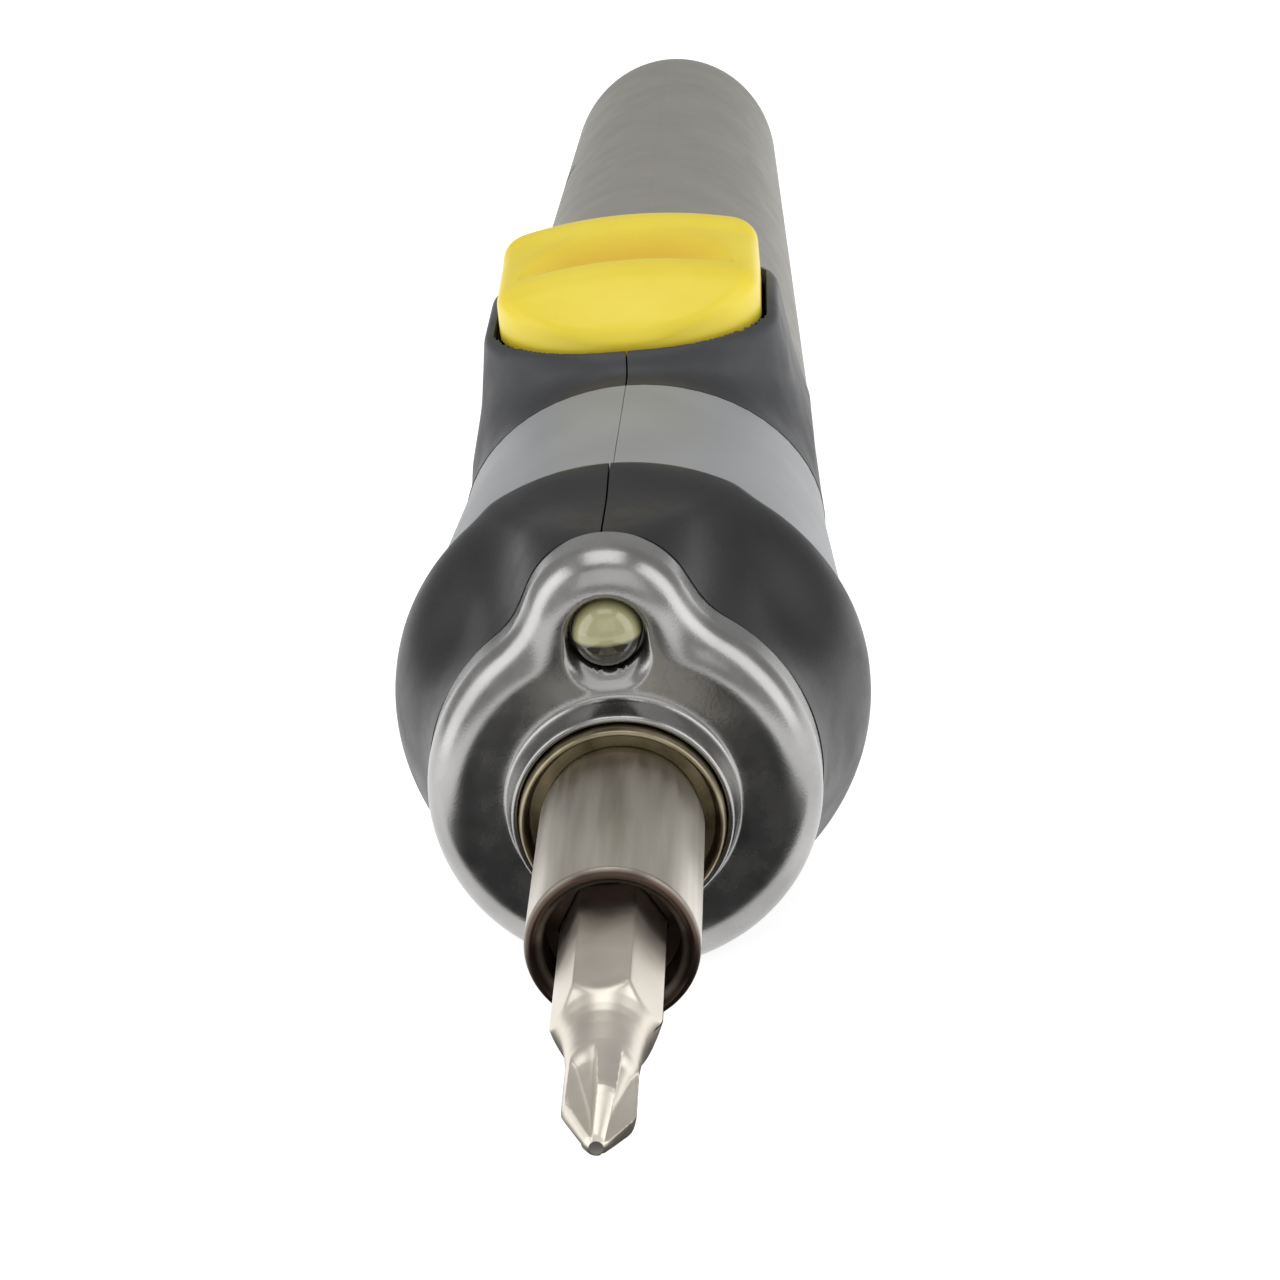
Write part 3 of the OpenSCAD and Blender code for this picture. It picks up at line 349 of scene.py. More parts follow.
WORN = {
    "socket_magnet": "dark_steel", "spindle_clip": "dark_steel", "motor_screws": "dark_steel",
    "housing_screws": "dark_steel", "thrust_washer": "steel", "output_planet_pins": "steel",
    "input_planet_pins": "steel", "motor_shaft": "steel", "motor_can": "steel", "motor_terminals": "steel",
    "rocker_pin": "steel", "battery_tabs": "steel", "rear_bushing": "bronze", "led_board": "board_green",
    "control_board": "board_green", "charge_board": "board_green", "gearbox_cover": "casing",
    "ring_gear": "casing", "motor_plate": "casing", "armature": "copper", "commutator": "copper",
    "motor_magnets": "magnet", "motor_brushes": "brush_carbon", "motor_end_cap": "black_plastic",
    "switch_body": "black_plastic", "charge_jack": "black_plastic", "switch_slider": "white_plastic",
    "board_parts": "chip_black", "battery_cell": "cell_wrap", "left_housing": "grey", "right_housing": "grey",
}
carried = dict(INNER, bronze=bronze, grey=grey_plastic)
for name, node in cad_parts.items():
    finish = carried[WORN.get(name, "gear_steel")]
    for slot in node.material_slots:
        slot.material = finish.material
print("finished", len(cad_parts), "packed nodes")

# %% [markdown]
# The moulded skins are double curved, and no chain of extrusions gives their soft blends. They are made as
# a sculptor would: a fine grid is laid out, and each of its points is pulled onto a form that is described
# by distances. Two forms run into each other where their distances are mixed over a few millimetres.

# %% Helpers for moulded skins
def smooth(t):
    t = np.clip(t, 0, 1)
    return t * t * (3 - 2 * t)


def run_together(a, b, width):
    """The union of two forms, with a fillet that is about width wide."""
    share = np.clip(0.5 + 0.5 * (b - a) / width, 0, 1)
    return b + (a - b) * share - width * share * (1 - share)


def cut_back(a, b, width):
    """What two forms have in common, with a rounded edge."""
    return -run_together(-a, -b, width)


def reach(form, angle, s):
    """How far from the axis the form's outermost surface is, at an angle from straight up.

    Coarse steps come in from outside the tool, and then halving finds the surface within the last step."""
    outside, step = 27.0, 0.4
    across, up = np.sin(angle), np.cos(angle)
    near = np.full_like(angle, outside)
    for _ in range(int(outside / step)):
        near = np.where((near > 0) & (form(near * across, s, near * up) >= 0), near - step, near)
    near = np.maximum(near, 0)
    far = near + step
    for _ in range(12):
        middle = (near + far) / 2
        inside = form(middle * across, s, middle * up) < 0
        near, far = np.where(inside, middle, near), np.where(inside, far, middle)
    return (near + far) / 2


def moulded(name, across, along, shape):
    """A grid of across by along cells whose points go where shape puts them, as x, s and z in mm."""
    clear_selection()
    bpy.ops.mesh.primitive_grid_add(x_subdivisions=across, y_subdivisions=along, size=2)
    piece = bpy.context.object
    piece.name = piece.data.name = name
    flat = np.empty(len(piece.data.vertices) * 3)
    piece.data.vertices.foreach_get("co", flat)
    u, v = (flat.reshape(-1, 3)[:, :2].T + 1) / 2
    x, s, z = shape(u, v)
    piece.data.vertices.foreach_set("co", (np.stack([x, s + NOSE, z], 1) * MM).ravel())
    piece.data.update()
    return piece


def face_outward(piece, centre):
    """Merges the points at seams and poles, and turns the faces round if they look at the centre."""
    pick(piece)
    bpy.ops.object.mode_set(mode="EDIT")
    bpy.ops.mesh.select_all(action="SELECT")
    bpy.ops.mesh.remove_doubles(threshold=WELD)
    bpy.ops.mesh.normals_make_consistent(inside=False)
    bpy.ops.object.mode_set(mode="OBJECT")
    gaze = sum(face.area * face.normal.dot(face.center - Vector(centre)) for face in piece.data.polygons)
    if gaze < 0:
        piece.data.flip_normals()


def shade(piece, sharp):
    pick(piece)
    bpy.ops.object.shade_smooth_by_angle(angle=math.radians(sharp))


def apply_modifier(piece, kind, **settings):
    pick(piece)
    modifier = piece.modifiers.new(kind.lower(), kind)
    for name, value in settings.items():
        setattr(modifier, name, value)
    bpy.ops.object.modifier_apply(modifier=modifier.name)


def give_wall(piece, thickness, sharp):
    apply_modifier(piece, "SOLIDIFY", thickness=thickness * MM, offset=-1)
    shade(piece, sharp)


def cut_away(piece, cutter):
    """Takes the cutter's space out of the piece and throws the cutter away."""
    apply_modifier(piece, "BOOLEAN", operation="DIFFERENCE", solver="EXACT", object=cutter)
    bpy.data.objects.remove(cutter)


def dress(piece, finish, slot, body, *nodes):
    piece.data.materials.clear()
    piece.data.materials.append(finish.material)
    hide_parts(*nodes)
    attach(piece, body)
    sizes = " x ".join(f"{side / MM:.1f}" for side in piece.dimensions)
    print(piece.name, len(piece.data.polygons), "faces,", sizes, "mm")


# %% [markdown]
# The nose cap is a chromed casting: a round front with a bump above it for the lamp, a raised lip round
# the bushing and a bowl that is sunk round the lamp. Its outline is the union of the two circles.

# %% Nose cap
LIP = [(7.45, -1.2), (7.45, -2.2), (7.6, -2.45), (7.75, -2.5), (7.9, -2.42), (8.0, -2.2), (8.1, -1.7),
       (8.2, -1.2), (8.3, -0.6), (8.44, -0.1), (8.7, 0.0), (9.2, 0.02)]
LIP_ROWS, FACE_ROWS, SIDE_ROWS = len(LIP) - 1, 64, 8
CAP_ROWS = LIP_ROWS + FACE_ROWS + SIDE_ROWS
HAIR = 0.02
SHOULDER = 3.0


def nose_outline(x, s, z):
    return run_together(np.hypot(x, z) - CAP_RADIUS, np.hypot(x, z - BUMP_HEIGHT) - BUMP_RADIUS, 2.2)


def light_bowl(x, z):
    """How deep the bowl round the lamp is: a scoop that runs out below, and the lamp's own hole in it."""
    low = np.clip(z, LAMP_HEIGHT - 1.5, LAMP_HEIGHT)
    rim = np.hypot(x, z - low) - (2.85 + 0.1 * (LAMP_HEIGHT - low))
    shaft = np.hypot(x, z - LAMP_HEIGHT)
    scoop = 1.2 * np.clip((z - 8.6) / 3.4, 0, 1)
    hole = 3.1 - scoop
    return scoop * smooth((0.25 - rim) / 1.15) + hole * smooth((LAMP_RADIUS + 0.28 - shaft) / 0.3)


def cap_shape(u, v):
    w = u - 0.5
    angle = 2 * math.pi * w - 0.6 * np.sin(2 * math.pi * w)
    row = np.rint(v * CAP_ROWS).astype(int)
    edge = reach(nose_outline, angle, 0 * u) - HAIR
    lip = np.array(LIP)[np.clip(row, 0, LIP_ROWS)]
    start = LIP[-1][0]
    share = np.sin(np.clip((row - LIP_ROWS) / FACE_ROWS, 0, 1) * math.pi / 2)
    radius = np.where(share > 0, start + (edge - start) * share, lip[:, 0])
    x, z = radius * np.sin(angle), radius * np.cos(angle)
    inset = np.clip(-nose_outline(x, 0, z) - HAIR, 0, SHOULDER) / SHOULDER
    shoulder = SHOULDER * (1 - np.sqrt(np.clip(1 - (1 - inset) ** 2, 0, 1)))
    face = HAIR + shoulder + light_bowl(x, z)
    side = np.clip((row - LIP_ROWS - FACE_ROWS) / SIDE_ROWS, 0, 1)
    s = np.where(share > 0, face, lip[:, 1]) + 2.44 * side
    return x, s, z


nose_cap = moulded("chrome_nose_cap", 360, CAP_ROWS, cap_shape)
face_outward(nose_cap, (0, at(5), 0))
give_wall(nose_cap, 0.45, 60)
dress(nose_cap, chrome, "cap_chrome", "housing", "nose_cap")

# %% [markdown]
# The front collar is rubber moulded in two halves. It grows from the cap's outline to a flange, carries a
# ridge behind the lamp, and is scooped out beside the ridge for two fingertips. Each half stands a hair off
# the middle, which leaves the dark parting line.

# %% Front collar halves
COLLAR_FRONT, COLLAR_LENGTH = 5.5, 15.0
COLLAR_ROWS = 64
RIM = [(20.5, 1.0), (20.9, 1.0), (21.3, 0.996), (21.52, 0.988), (21.6, 0.972), (21.6, 0.9)]


def collar_form(x, s, z):
    share = (s - COLLAR_FRONT) / COLLAR_LENGTH
    grown = CAP_RADIUS + 3.9 * smooth(share)
    radius = np.hypot(x, z)
    ridge = np.hypot(x, z - BUMP_HEIGHT) - (BUMP_RADIUS + 3.0 * share)
    ridge = cut_back(ridge, radius - (18.9 - share), 0.5)
    both = run_together(radius - grown, ridge, 2.2)
    angle = np.degrees(np.arctan2(np.abs(x), z))
    scoop = 1.3 * np.exp(-((angle - 52) / 15) ** 2 - ((s - 12.5) / 4.2) ** 2)
    return cut_back(both + scoop, -KEEL_BOTTOM - z, 0.6)


def collar_shape(side):
    def shape(u, v):
        angle = math.pi * u - 0.35 * np.sin(2 * math.pi * u)
        row = np.rint(v * (COLLAR_ROWS + len(RIM))).astype(int)
        start = COLLAR_FRONT + HAIR
        s = start + (RIM[0][0] - start) * np.clip((row - 1) / (COLLAR_ROWS - 1), 0, 1)
        radius = reach(collar_form, angle, s) * np.where(row == 0, 0.93, 1)
        past = np.clip(row - COLLAR_ROWS, 0, len(RIM) - 1)
        rim = np.array(RIM)[past]
        s = np.where(row > COLLAR_ROWS, rim[:, 0], s)
        radius = np.where(row > COLLAR_ROWS, radius * rim[:, 1], radius)
        return side * (radius * np.sin(angle) + PARTING_GAP), s, radius * np.cos(angle)
    return shape


def screw_pocket(s, z, depth):
    """A cutter for the sunk hole of a housing screw, on the left side."""
    clear_selection()
    bpy.ops.mesh.primitive_cylinder_add(vertices=48, radius=POCKET_RADIUS * MM, depth=20 * MM,
                                        rotation=(0, math.pi / 2, 0), location=(-(depth + 10) * MM, at(s), z * MM))
    return bpy.context.object


for side, word in ((-1, "left"), (1, "right")):
    collar = moulded(word + "_collar_skin", 150, COLLAR_ROWS + len(RIM), collar_shape(side))
    face_outward(collar, (0, at(14), 0))
    give_wall(collar, 1.1, 50)
    if side < 0:
        cut_away(collar, screw_pocket(15.2, -9.0, 4))
        shade(collar, 50)
    dress(collar, black_rubber, "collar_rubber", "housing", word + "_front_collar")

# %% [markdown]
# The rocker's outline, seen from above, is needed twice: for the button itself and for the saddle round
# it. A table of distances to that outline is worked out once and looked up from then on.

# %% The rocker's outline
def button_outline():
    """Points round the rocker: half an ellipse in front and two rounded corners behind."""
    half, depth, corner = 11.4, 9.12, 5
    a = np.radians(np.arange(0, 180.1, 3))
    b = np.radians(np.arange(0, 90.1, 6))
    nose = np.c_[half * np.cos(a), ROCKER_FRONT + depth - depth * np.sin(a)]
    left = np.c_[-half + corner - corner * np.cos(b), ROCKER_REAR - corner + corner * np.sin(b)]
    right = left[::-1] * (-1, 1)
    return np.vstack([nose, left, right])


def outline_distance(outline, x, s):
    """How far points lie outside a closed outline, or less than nothing inside it."""
    ends = np.roll(outline, -1, 0)
    run = ends - outline
    dx, ds = x[..., None] - outline[:, 0], s[..., None] - outline[:, 1]
    share = np.clip((dx * run[:, 0] + ds * run[:, 1]) / (run ** 2).sum(1), 0, 1)
    away = np.hypot(dx - share * run[:, 0], ds - share * run[:, 1]).min(-1)
    crosses = (outline[:, 1] > s[..., None]) != (ends[:, 1] > s[..., None])
    slope = np.where(run[:, 1] == 0, 1e-9, run[:, 1])
    inside = (crosses & (dx < ds * run[:, 0] / slope)).sum(-1) % 2 == 1
    return np.where(inside, -away, away)


OUTLINE = button_outline()
STEP = 0.25
TABLE_X, TABLE_S = np.arange(-27, 27.1, STEP), np.arange(38, 98.1, STEP)
TABLE = outline_distance(OUTLINE, *np.meshgrid(TABLE_X, TABLE_S, indexing="ij"))


def plan_distance(x, s):
    """The distance to the rocker's outline, read between the four nearest places of the table."""
    gx = np.clip((x - TABLE_X[0]) / STEP, 0, len(TABLE_X) - 1.001)
    gs = np.clip((s - TABLE_S[0]) / STEP, 0, len(TABLE_S) - 1.001)
    i, j = gx.astype(int), gs.astype(int)
    fx, fs = gx - i, gs - j
    near = TABLE[i, j] * (1 - fx) + TABLE[i + 1, j] * fx
    return near * (1 - fs) + (TABLE[i, j + 1] * (1 - fx) + TABLE[i + 1, j + 1] * fx) * fs


print("outline points:", len(OUTLINE))

# %% [markdown]
# The handle's rubber is one long skin in two halves: a taper with a domed tail, a saddle that rises round
# the rocker and a keel underneath to rest on. Its front edge leans back along the joint with the grey
# plastic. The parting line shows at the saddle's front and closes up behind it.

# %% Grip halves
GRIP_FRONT, FRONT_RADIUS = 49, 15.7
DOME_AT, DOME_LENGTH, TAIL_RADIUS = 181, 20, 11.9
ROWS = np.concatenate([np.arange(GRIP_FRONT, 57, 0.2), np.arange(57, 66, 0.7), np.arange(66, 86, 0.33),
                       np.arange(86, 147, 3.0), np.arange(148.2, 157.6, 0.33), np.arange(160, 187, 1.2),
                       DOME_AT + DOME_LENGTH * np.sin(np.linspace(math.asin(0.3), math.asin(0.949), 14))])
LEAN = math.tan(math.radians(24))
RUBBER = 1.35
SADDLE_WALL, SADDLE_FLARE = 1.35, 1.3
WELL_GAP = 0.35
POCKETS = ((80.21, 8.6), (80.21, -8.6), (154.5, 5.4), (154.5, -5.4))


def grip_radius(s):
    cone = FRONT_RADIUS - (FRONT_RADIUS - TAIL_RADIUS) * (s - GRIP_FRONT) / (DOME_AT - GRIP_FRONT)
    dome = TAIL_RADIUS * np.sqrt(np.clip(1 - ((s - DOME_AT) / DOME_LENGTH) ** 2, 0, 1))
    return np.where(s < DOME_AT, cone, dome)


def grip_core(x, s, z):
    """The housing under the rubber, where every hole in the rubber ends."""
    return np.hypot(x, z) - (grip_radius(s) - RUBBER)


def grip_form(x, s, z):
    body = np.hypot(x, z) - grip_radius(s)
    drop = np.clip((RIM_HEIGHT - z) / 8.9, 0, 1.5)
    wall = plan_distance(x, s) - SADDLE_WALL - SADDLE_FLARE * drop
    saddle = cut_back(wall, np.maximum(z - RIM_HEIGHT, 5 - z), 1.0)
    whole = run_together(body, saddle, 2.4)
    lift = np.clip((z + KEEL_BOTTOM) / 8.6, 0, 1)
    middle = np.clip(s, 64 - 4 * lift, 176 + 9 * lift)
    keel = np.maximum(np.hypot(x, s - middle) - 7.5 - lift, z + 6)
    whole = cut_back(run_together(whole, keel, 2.0), -KEEL_BOTTOM - z, 0.5)
    well = np.where(z > 0, WELL_GAP - plan_distance(x, s), -9)
    return np.minimum(cut_back(whole, well, 0.25), grip_core(x, s, z))


def pocketed_form(x, s, z):
    """The left half also has the sunk holes of the housing screws."""
    form = grip_form(x, s, z)
    for pocket_s, pocket_z in POCKETS:
        form = np.maximum(form, POCKET_RADIUS - np.hypot(s - pocket_s, z - pocket_z))
    return np.minimum(form, grip_core(x, s, z))


def grip_shape(side):
    """One half's grid. Its columns crowd beside the rocker, and its front edge leans back."""
    form = pocketed_form if side < 0 else grip_form

    def shape(u, v):
        angle = np.radians(np.interp(u, (0, 0.14, 0.49, 1), (0, 28, 56, 180)))
        front = np.full_like(u, GRIP_FRONT)
        for _ in range(6):
            radius = reach(form, angle, front)
            front = GRIP_FRONT + 0.05 + (15.0 - radius * np.cos(angle)) * LEAN
        row = np.rint(v * (len(ROWS) - 1)).astype(int)
        s = front + (ROWS[row] - GRIP_FRONT) * (ROWS[-1] - front) / (ROWS[-1] - GRIP_FRONT)
        radius = reach(form, angle, s)
        gap = PARTING_GAP * (1 - smooth((s - 52) / 8)) + 0.003
        return side * (radius * np.sin(angle) + gap), s, radius * np.cos(angle)
    return shape


def straighten_well(grip):
    """Moves the points on the well's wall sideways onto the rocker's outline, which evens its edge."""
    for vertex in grip.data.vertices:
        x, s, z = (c / MM for c in vertex.co)
        s -= NOSE
        if z < 0 or not 50 < s < 83 or abs(x) > 16:
            continue
        near, right, ahead = plan_distance(np.array([x, x + 0.1, x]), np.array([s, s, s + 0.1]))
        short = WELL_GAP + 0.01 - near
        if short > 0:
            move = Vector((right - near, ahead - near)).normalized() * short * MM
            vertex.co.x += move.x
            vertex.co.y += move.y


def open_floors(grip, side):
    """Deletes the floors of the rocker's well and of the screw pockets."""
    pick(grip)
    bpy.ops.object.mode_set(mode="EDIT")
    bpy.ops.mesh.select_mode(type="FACE")
    bpy.ops.mesh.select_all(action="DESELECT")
    bpy.ops.object.mode_set(mode="OBJECT")
    corners = np.array([vertex.co for vertex in grip.data.vertices]) / MM
    near = plan_distance(corners[:, 0], corners[:, 1] - NOSE)
    nearest = np.array([min(near[i] for i in face.vertices) for face in grip.data.polygons])
    places = np.array([face.center for face in grip.data.polygons]) / MM
    x, s, z = places[:, 0], places[:, 1] - NOSE, places[:, 2]
    floors = (z > 0) & (nearest < 0.04)
    if side < 0:
        sunk = np.hypot(x, z) < grip_radius(s) - 1.1
        for pocket_s, pocket_z in POCKETS:
            floors |= sunk & (np.hypot(s - pocket_s, z - pocket_z) < 2.4)
    grip.data.polygons.foreach_set("select", floors)
    bpy.ops.object.mode_set(mode="EDIT")
    bpy.ops.mesh.delete(type="FACE")
    bpy.ops.mesh.select_mode(type="VERT")
    bpy.ops.object.mode_set(mode="OBJECT")


for side, word in ((-1, "left"), (1, "right")):
    grip = moulded(word + "_grip_skin", 170, len(ROWS) - 1, grip_shape(side))
    face_outward(grip, (0, at(110), 0))
    open_floors(grip, side)
    straighten_well(grip)
    give_wall(grip, 1.2, 50)
    dress(grip, grip_rubber, "grip_rubber", "housing", word + "_grip")

# %% [markdown]
# The rocker is a hollow yellow cap. From the side it climbs like a ramp, dips into a finger dish with a
# sharp front edge and a soft rear one, and ends in a raised lip. Rings of points follow its outline, from
# the middle to the rounded edge and down the wall.

# %% Rocker button
SIDE_LINE = np.array([(0, 17.7), (0.8, 18.9), (3, 20.3), (5.6, 21.6), (7.6, 22.15), (8.7, 22.2), (17, 22.7),
                      (19.4, 23.2), (21.4, 22.9), (23.1, 21.9), (24, 20.6)])
ROCKER_MIDDLE = 66.8
TOP_ROWS, WALL_ROWS = 70, 14
fine_s = np.arange(-4, 28, 0.05)
fine_z = np.interp(fine_s, SIDE_LINE[:, 0], SIDE_LINE[:, 1])
kernel = np.exp(-(np.arange(-40, 41) * 0.05 / 0.55) ** 2)
fine_z = np.convolve(np.pad(fine_z, 40, mode="edge"), kernel / kernel.sum(), mode="valid")


def button_top(x, s):
    back = s - ROCKER_FRONT
    width = np.clip(1 - (x / DISH_HALF_WIDTH) ** 2, 0, 1)
    share = (back - 9.2) / (8.4 * np.sqrt(width) + 0.01)
    dish = 2.2 * np.sqrt(width) * smooth(share / 0.06) * np.clip(1 - share, 0, 1) ** 1.2
    return np.interp(back, fine_s, fine_z) - x ** 2 / 84 - np.where(width > 0, dish, 0)


def button_shape(u, v):
    turn_by = 2 * math.pi * u
    spokes = np.linspace(0, 2 * math.pi, 301)
    near, far = np.zeros_like(spokes), np.full_like(spokes, 20.0)
    for _ in range(22):
        middle = (near + far) / 2
        inside = outline_distance(OUTLINE, middle * np.sin(spokes), ROCKER_MIDDLE + middle * np.cos(spokes)) < 0
        near, far = np.where(inside, middle, near), np.where(inside, far, middle)
    edge = np.interp(turn_by, spokes, near)
    row = np.rint(v * (TOP_ROWS + WALL_ROWS)).astype(int)
    share = np.sin(np.clip(row / TOP_ROWS, 0, 1) * math.pi / 2)
    x, s = edge * share * np.sin(turn_by), ROCKER_MIDDLE + edge * share * np.cos(turn_by)
    inset = np.clip(-plan_distance(x, s), 0, 9)
    round_r = 0.6 + 0.9 * smooth((s - 56) / 8)
    fall = round_r - np.sqrt(np.clip(round_r ** 2 - np.clip(round_r - inset, 0, None) ** 2, 0, None))
    z = button_top(x, s) - fall
    z = np.where(row >= TOP_ROWS, button_top(x, s) - round_r, z)
    wall = np.clip((row - TOP_ROWS) / WALL_ROWS, 0, 1)
    return x, s, z + (RIM_HEIGHT - 0.5 - z) * wall


button = moulded("yellow_rocker", 300, TOP_ROWS + WALL_ROWS, button_shape)
face_outward(button, (0, at(ROCKER_MIDDLE), 0.016))
give_wall(button, 1.2, 45)
dress(button, yellow_plastic, "button_yellow", "button", "rocker_button")

# %% [markdown]
# Turned pieces are drawn as a lathe would cut them: a circle is added, then extruded and resized ring by
# ring along a line of radius and distance. Small fillets at the corners catch the light as real edges do.

# %% Helpers for turned pieces
def filleted(line, size):
    """The line with each inner corner cut by a small curve."""
    points = [line[0]]
    for before, corner, after in zip(line, line[1:], line[2:]):
        before, corner, after = map(np.array, (before, corner, after))
        ends = [corner + (p - corner) * min(size / np.linalg.norm(p - corner), 0.45) for p in (before, after)]
        for t in (0, 0.33, 0.67, 1):
            points.append(tuple((1 - t) ** 2 * ends[0] + 2 * t * (1 - t) * corner + t * t * ends[1]))
    return points + [line[-1]]


def turned(name, line, around, height=0.0):
    """A body of revolution whose axis runs along the tool, height mm above the middle."""
    radius, s = line[0]
    clear_selection()
    bpy.ops.mesh.primitive_circle_add(vertices=around, radius=radius * MM, location=(0, at(s), height * MM),
                                      rotation=(math.pi / 2, 0, 0))
    piece = bpy.context.object
    piece.name = piece.data.name = name
    bpy.ops.object.transform_apply(location=True, rotation=True, scale=True)
    bpy.ops.object.mode_set(mode="EDIT")
    bpy.ops.mesh.select_all(action="SELECT")
    for (r0, s0), (r1, s1) in zip(line, line[1:]):
        bpy.ops.mesh.extrude_region_move(TRANSFORM_OT_translate={"value": (0, (s1 - s0) * MM, 0)})
        ratio = max(r1, 0.001) / r0
        bpy.ops.transform.resize(value=(ratio, 1, ratio), center_override=(0, at(s1), height * MM))
    bpy.ops.mesh.select_all(action="SELECT")
    bpy.ops.mesh.remove_doubles(threshold=WELD)
    if line[0] != line[-1]:
        bpy.ops.mesh.select_all(action="DESELECT")
        bpy.ops.mesh.select_mode(type="EDGE")
        bpy.ops.mesh.select_non_manifold()
        bpy.ops.mesh.fill()
        bpy.ops.mesh.select_mode(type="VERT")
        bpy.ops.mesh.select_all(action="SELECT")
    bpy.ops.mesh.normals_make_consistent(inside=False)
    bpy.ops.object.mode_set(mode="OBJECT")
    return piece


# %% [markdown]
# The bit holder is a plain nickel tube. Its mouth is chamfered and stained, a short round bore leads to
# the hexagonal socket, and behind the bushing it steps down to the journal and the spindle. The socket's
# rings are pushed onto a hexagon after the turning.

# %% Bit holder
SOCKET_RADIUS, SOCKET_FLAT = 3.75, 3.25
HOLDER_LINE = [(0.3, 2.3), (SOCKET_RADIUS, 2.3), (SOCKET_RADIUS, -19.15), (4.6, -19.15), (4.6, -21.92),
               (5.33, -22.65), (5.53, -22.65), (5.88, -22.15), (5.88, -3.7), (5.63, -3.7), (5.63, 10.55),
               (4.6, 10.55), (4.6, 11.4), (5.0, 11.4), (5.0, 12.4), (4.0, 12.4), (4.0, 25.0), (0.3, 25.0)]


def hexagon(angle, flat):
    """Distance to a hexagon whose corners lie to the right and left."""
    turned_to = (angle + math.pi / 6) % (math.pi / 3) - math.pi / 6
    return flat / np.cos(turned_to - np.sign(turned_to) * math.pi / 6)


holder = turned("nickel_bit_holder", filleted(HOLDER_LINE, 0.12), 120)
for vertex in holder.data.vertices:
    radius, s = math.hypot(vertex.co.x, vertex.co.z) / MM, vertex.co.y / MM - NOSE
    if 3.4 < radius < 3.9 and s < 2.5:
        grow = float(hexagon(np.array(math.atan2(vertex.co.z, vertex.co.x)), SOCKET_FLAT)) / SOCKET_RADIUS
        vertex.co.x *= grow
        vertex.co.z *= grow
shade(holder, 35)
dress(holder, nickel, "holder_nickel", "spindle", "bit_holder")

# %% [markdown]
# The bronze front bushing sits inside the lip: a thin raised crest at its mouth, then a shallow cone down
# to the turning journal, and a flange inside the housing.

# %% Front bushing
BUSHING_LINE = [(5.67, -2.25), (6.65, -2.45), (6.9, -3.3), (7.08, -3.55), (7.3, -3.35), (7.4, -2.9), (7.4, 9.0),
                (9.0, 9.0), (9.0, 10.2), (5.67, 10.2), (5.67, -2.25)]
bushing = turned("bronze_front_bushing", filleted(BUSHING_LINE, 0.1), 120)
shade(bushing, 40)
dress(bushing, bronze, "bush_bronze", "housing", "front_bushing")

# %% [markdown]
# The lamp is a five millimetre diode: a clear resin dome on a straight body with a small flange, whose
# two legs go back to the little board behind it.

# %% Work light
LEG_SPACING = 2.54
dome = [(LAMP_RADIUS * math.cos(a), 1.2 - LAMP_RADIUS * math.sin(a)) for a in np.radians(np.linspace(89.6, 0, 20))]
LAMP_LINE = dome + [(LAMP_RADIUS, 4.25), (2.95, 4.25), (2.95, 5.2), (0.3, 5.2)]
lamp = turned("resin_lamp", LAMP_LINE, 72, LAMP_HEIGHT)
clear_selection()
bpy.ops.mesh.primitive_cylinder_add(vertices=16, radius=0.25 * MM, depth=3.6 * MM, rotation=(math.pi / 2, 0, 0),
                                    location=(LEG_SPACING / 2 * MM, at(6.9), LAMP_HEIGHT * MM))
leg = bpy.context.object
bpy.ops.object.duplicate()
bpy.ops.transform.translate(value=(-LEG_SPACING * MM, 0, 0))
for extra in (leg, bpy.context.object, lamp):
    extra.select_set(True)
bpy.context.view_layer.objects.active = lamp
bpy.ops.object.join()
shade(lamp, 40)
dress(lamp, lamp_resin, "lens", "housing", "work_light_led")

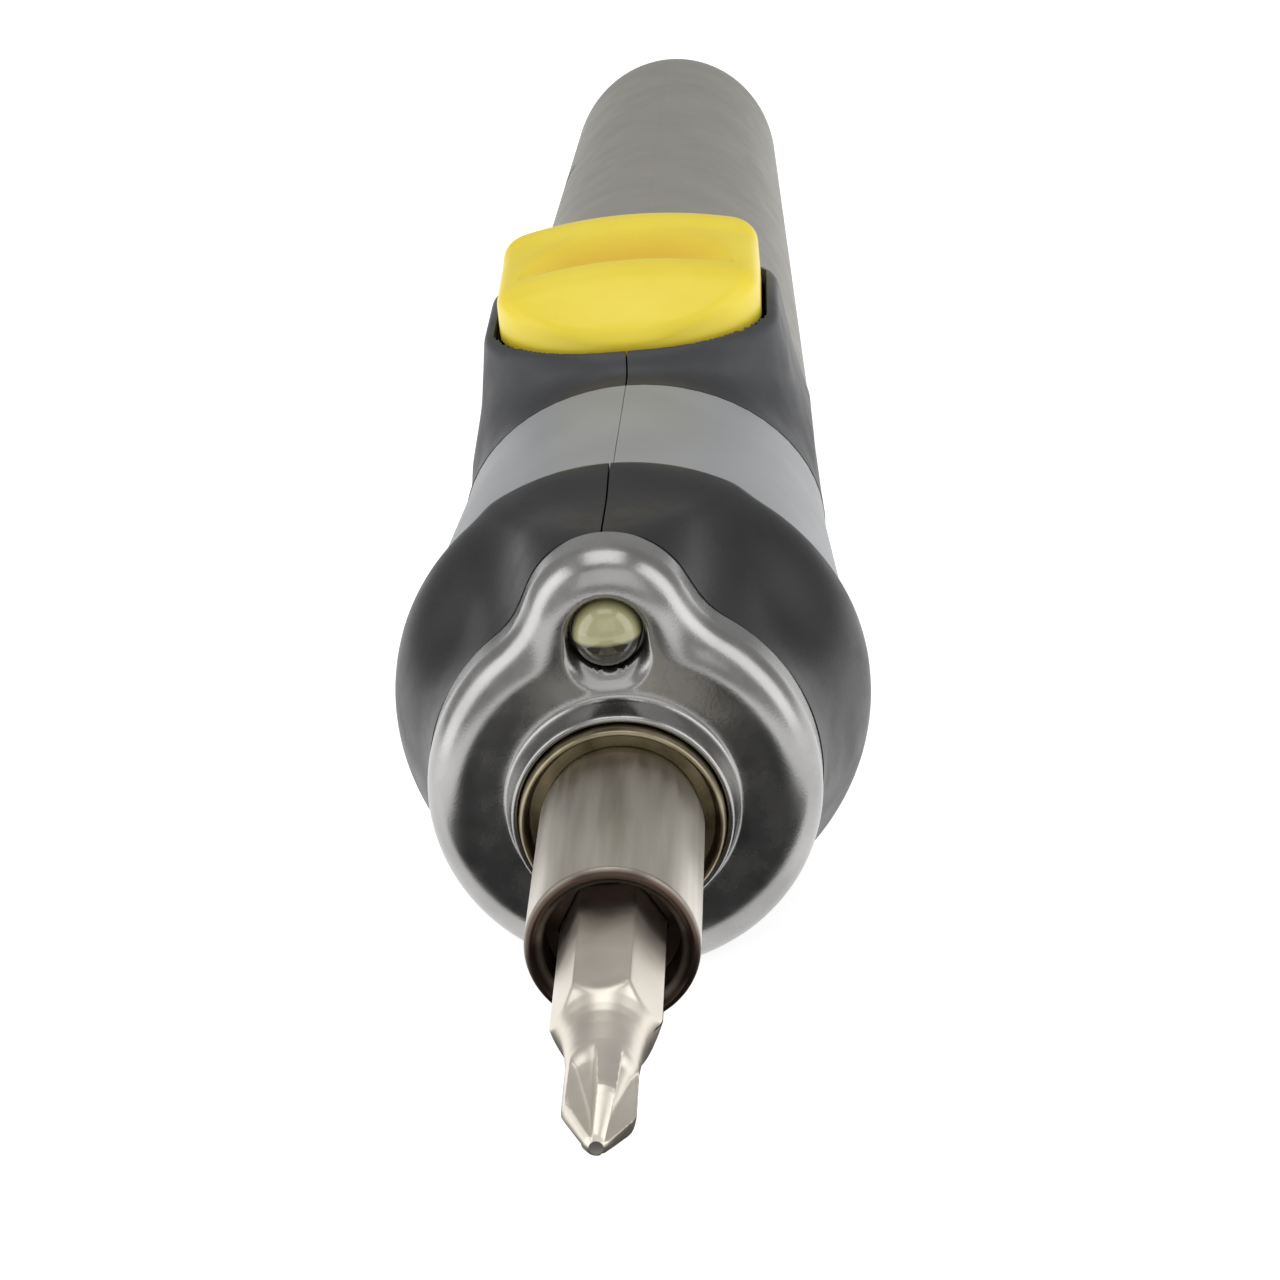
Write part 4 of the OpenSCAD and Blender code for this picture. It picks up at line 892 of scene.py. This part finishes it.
# %% [markdown]
# The bit is forged from hexagonal bar: a round shoulder leads down to the neck, and four wings taper to
# the cross tip, which is turned a little against the hexagon. Round and hexagonal parts flow into each
# other, so it is moulded like the skins, with every edge worn a little.

# %% Screwdriver bit
TIP, NECK_END = -47.9, -38.65
NECK = np.array([(TIP, 0.45), (-47.6, 0.72), (-44.75, 2.1), (-44.3, 2.26), (-43.8, 2.3), (NECK_END, 2.3),
                 (-36.8, 2.45), (-35.6, 2.62), (-34.9, 2.8), (-34.05, 3.12), (-33.4, 3.45), (-32.85, 3.68),
                 (1.45, 3.68), (2.15, 3.0)])
BIT_ROWS = np.concatenate([np.linspace(TIP, -38.4, 110), np.linspace(-38.2, -32.6, 50),
                           np.linspace(-32, 1.4, 12), np.linspace(1.5, 2.15, 4)])
BIT_FLAT = 3.175
WING_TURN = math.radians(19)


def bit_shape(u, v):
    angle = 2 * math.pi * u
    row = np.rint(v * (len(BIT_ROWS) + 1)).astype(int)
    s = BIT_ROWS[np.clip(row - 1, 0, len(BIT_ROWS) - 1)]
    bar = np.interp(s, NECK[:, 0], NECK[:, 1])
    radius = run_together(bar, hexagon(angle, BIT_FLAT), 0.18)
    grow = np.clip((s - TIP) / 9.2, 0, 1)
    core = 0.4 + 1.9 * grow ** 1.25
    half = 0.42 + 0.42 * grow
    wing = angle + WING_TURN
    wings = half / np.maximum(np.minimum(np.abs(np.sin(wing)), np.abs(np.cos(wing))), 1e-3)
    cross = run_together(bar, -run_together(-wings, -core, 0.25), 0.12)
    run_out = smooth((s + 40.6) / 1.6)
    radius = np.where(s < -38.9, cross * (1 - run_out) + radius * run_out, radius)
    radius = np.where((row == 0) | (row == len(BIT_ROWS) + 1), 0, radius)
    s = np.where(row == 0, TIP + 0.05, s)
    return radius * np.cos(angle), s, radius * np.sin(angle)


bit = moulded("steel_bit", 240, len(BIT_ROWS) + 1, bit_shape)
face_outward(bit, (0, at(-20), 0))
shade(bit, 40)
dress(bit, steel_bit, "bit_steel", "bit", "screwdriver_bit")
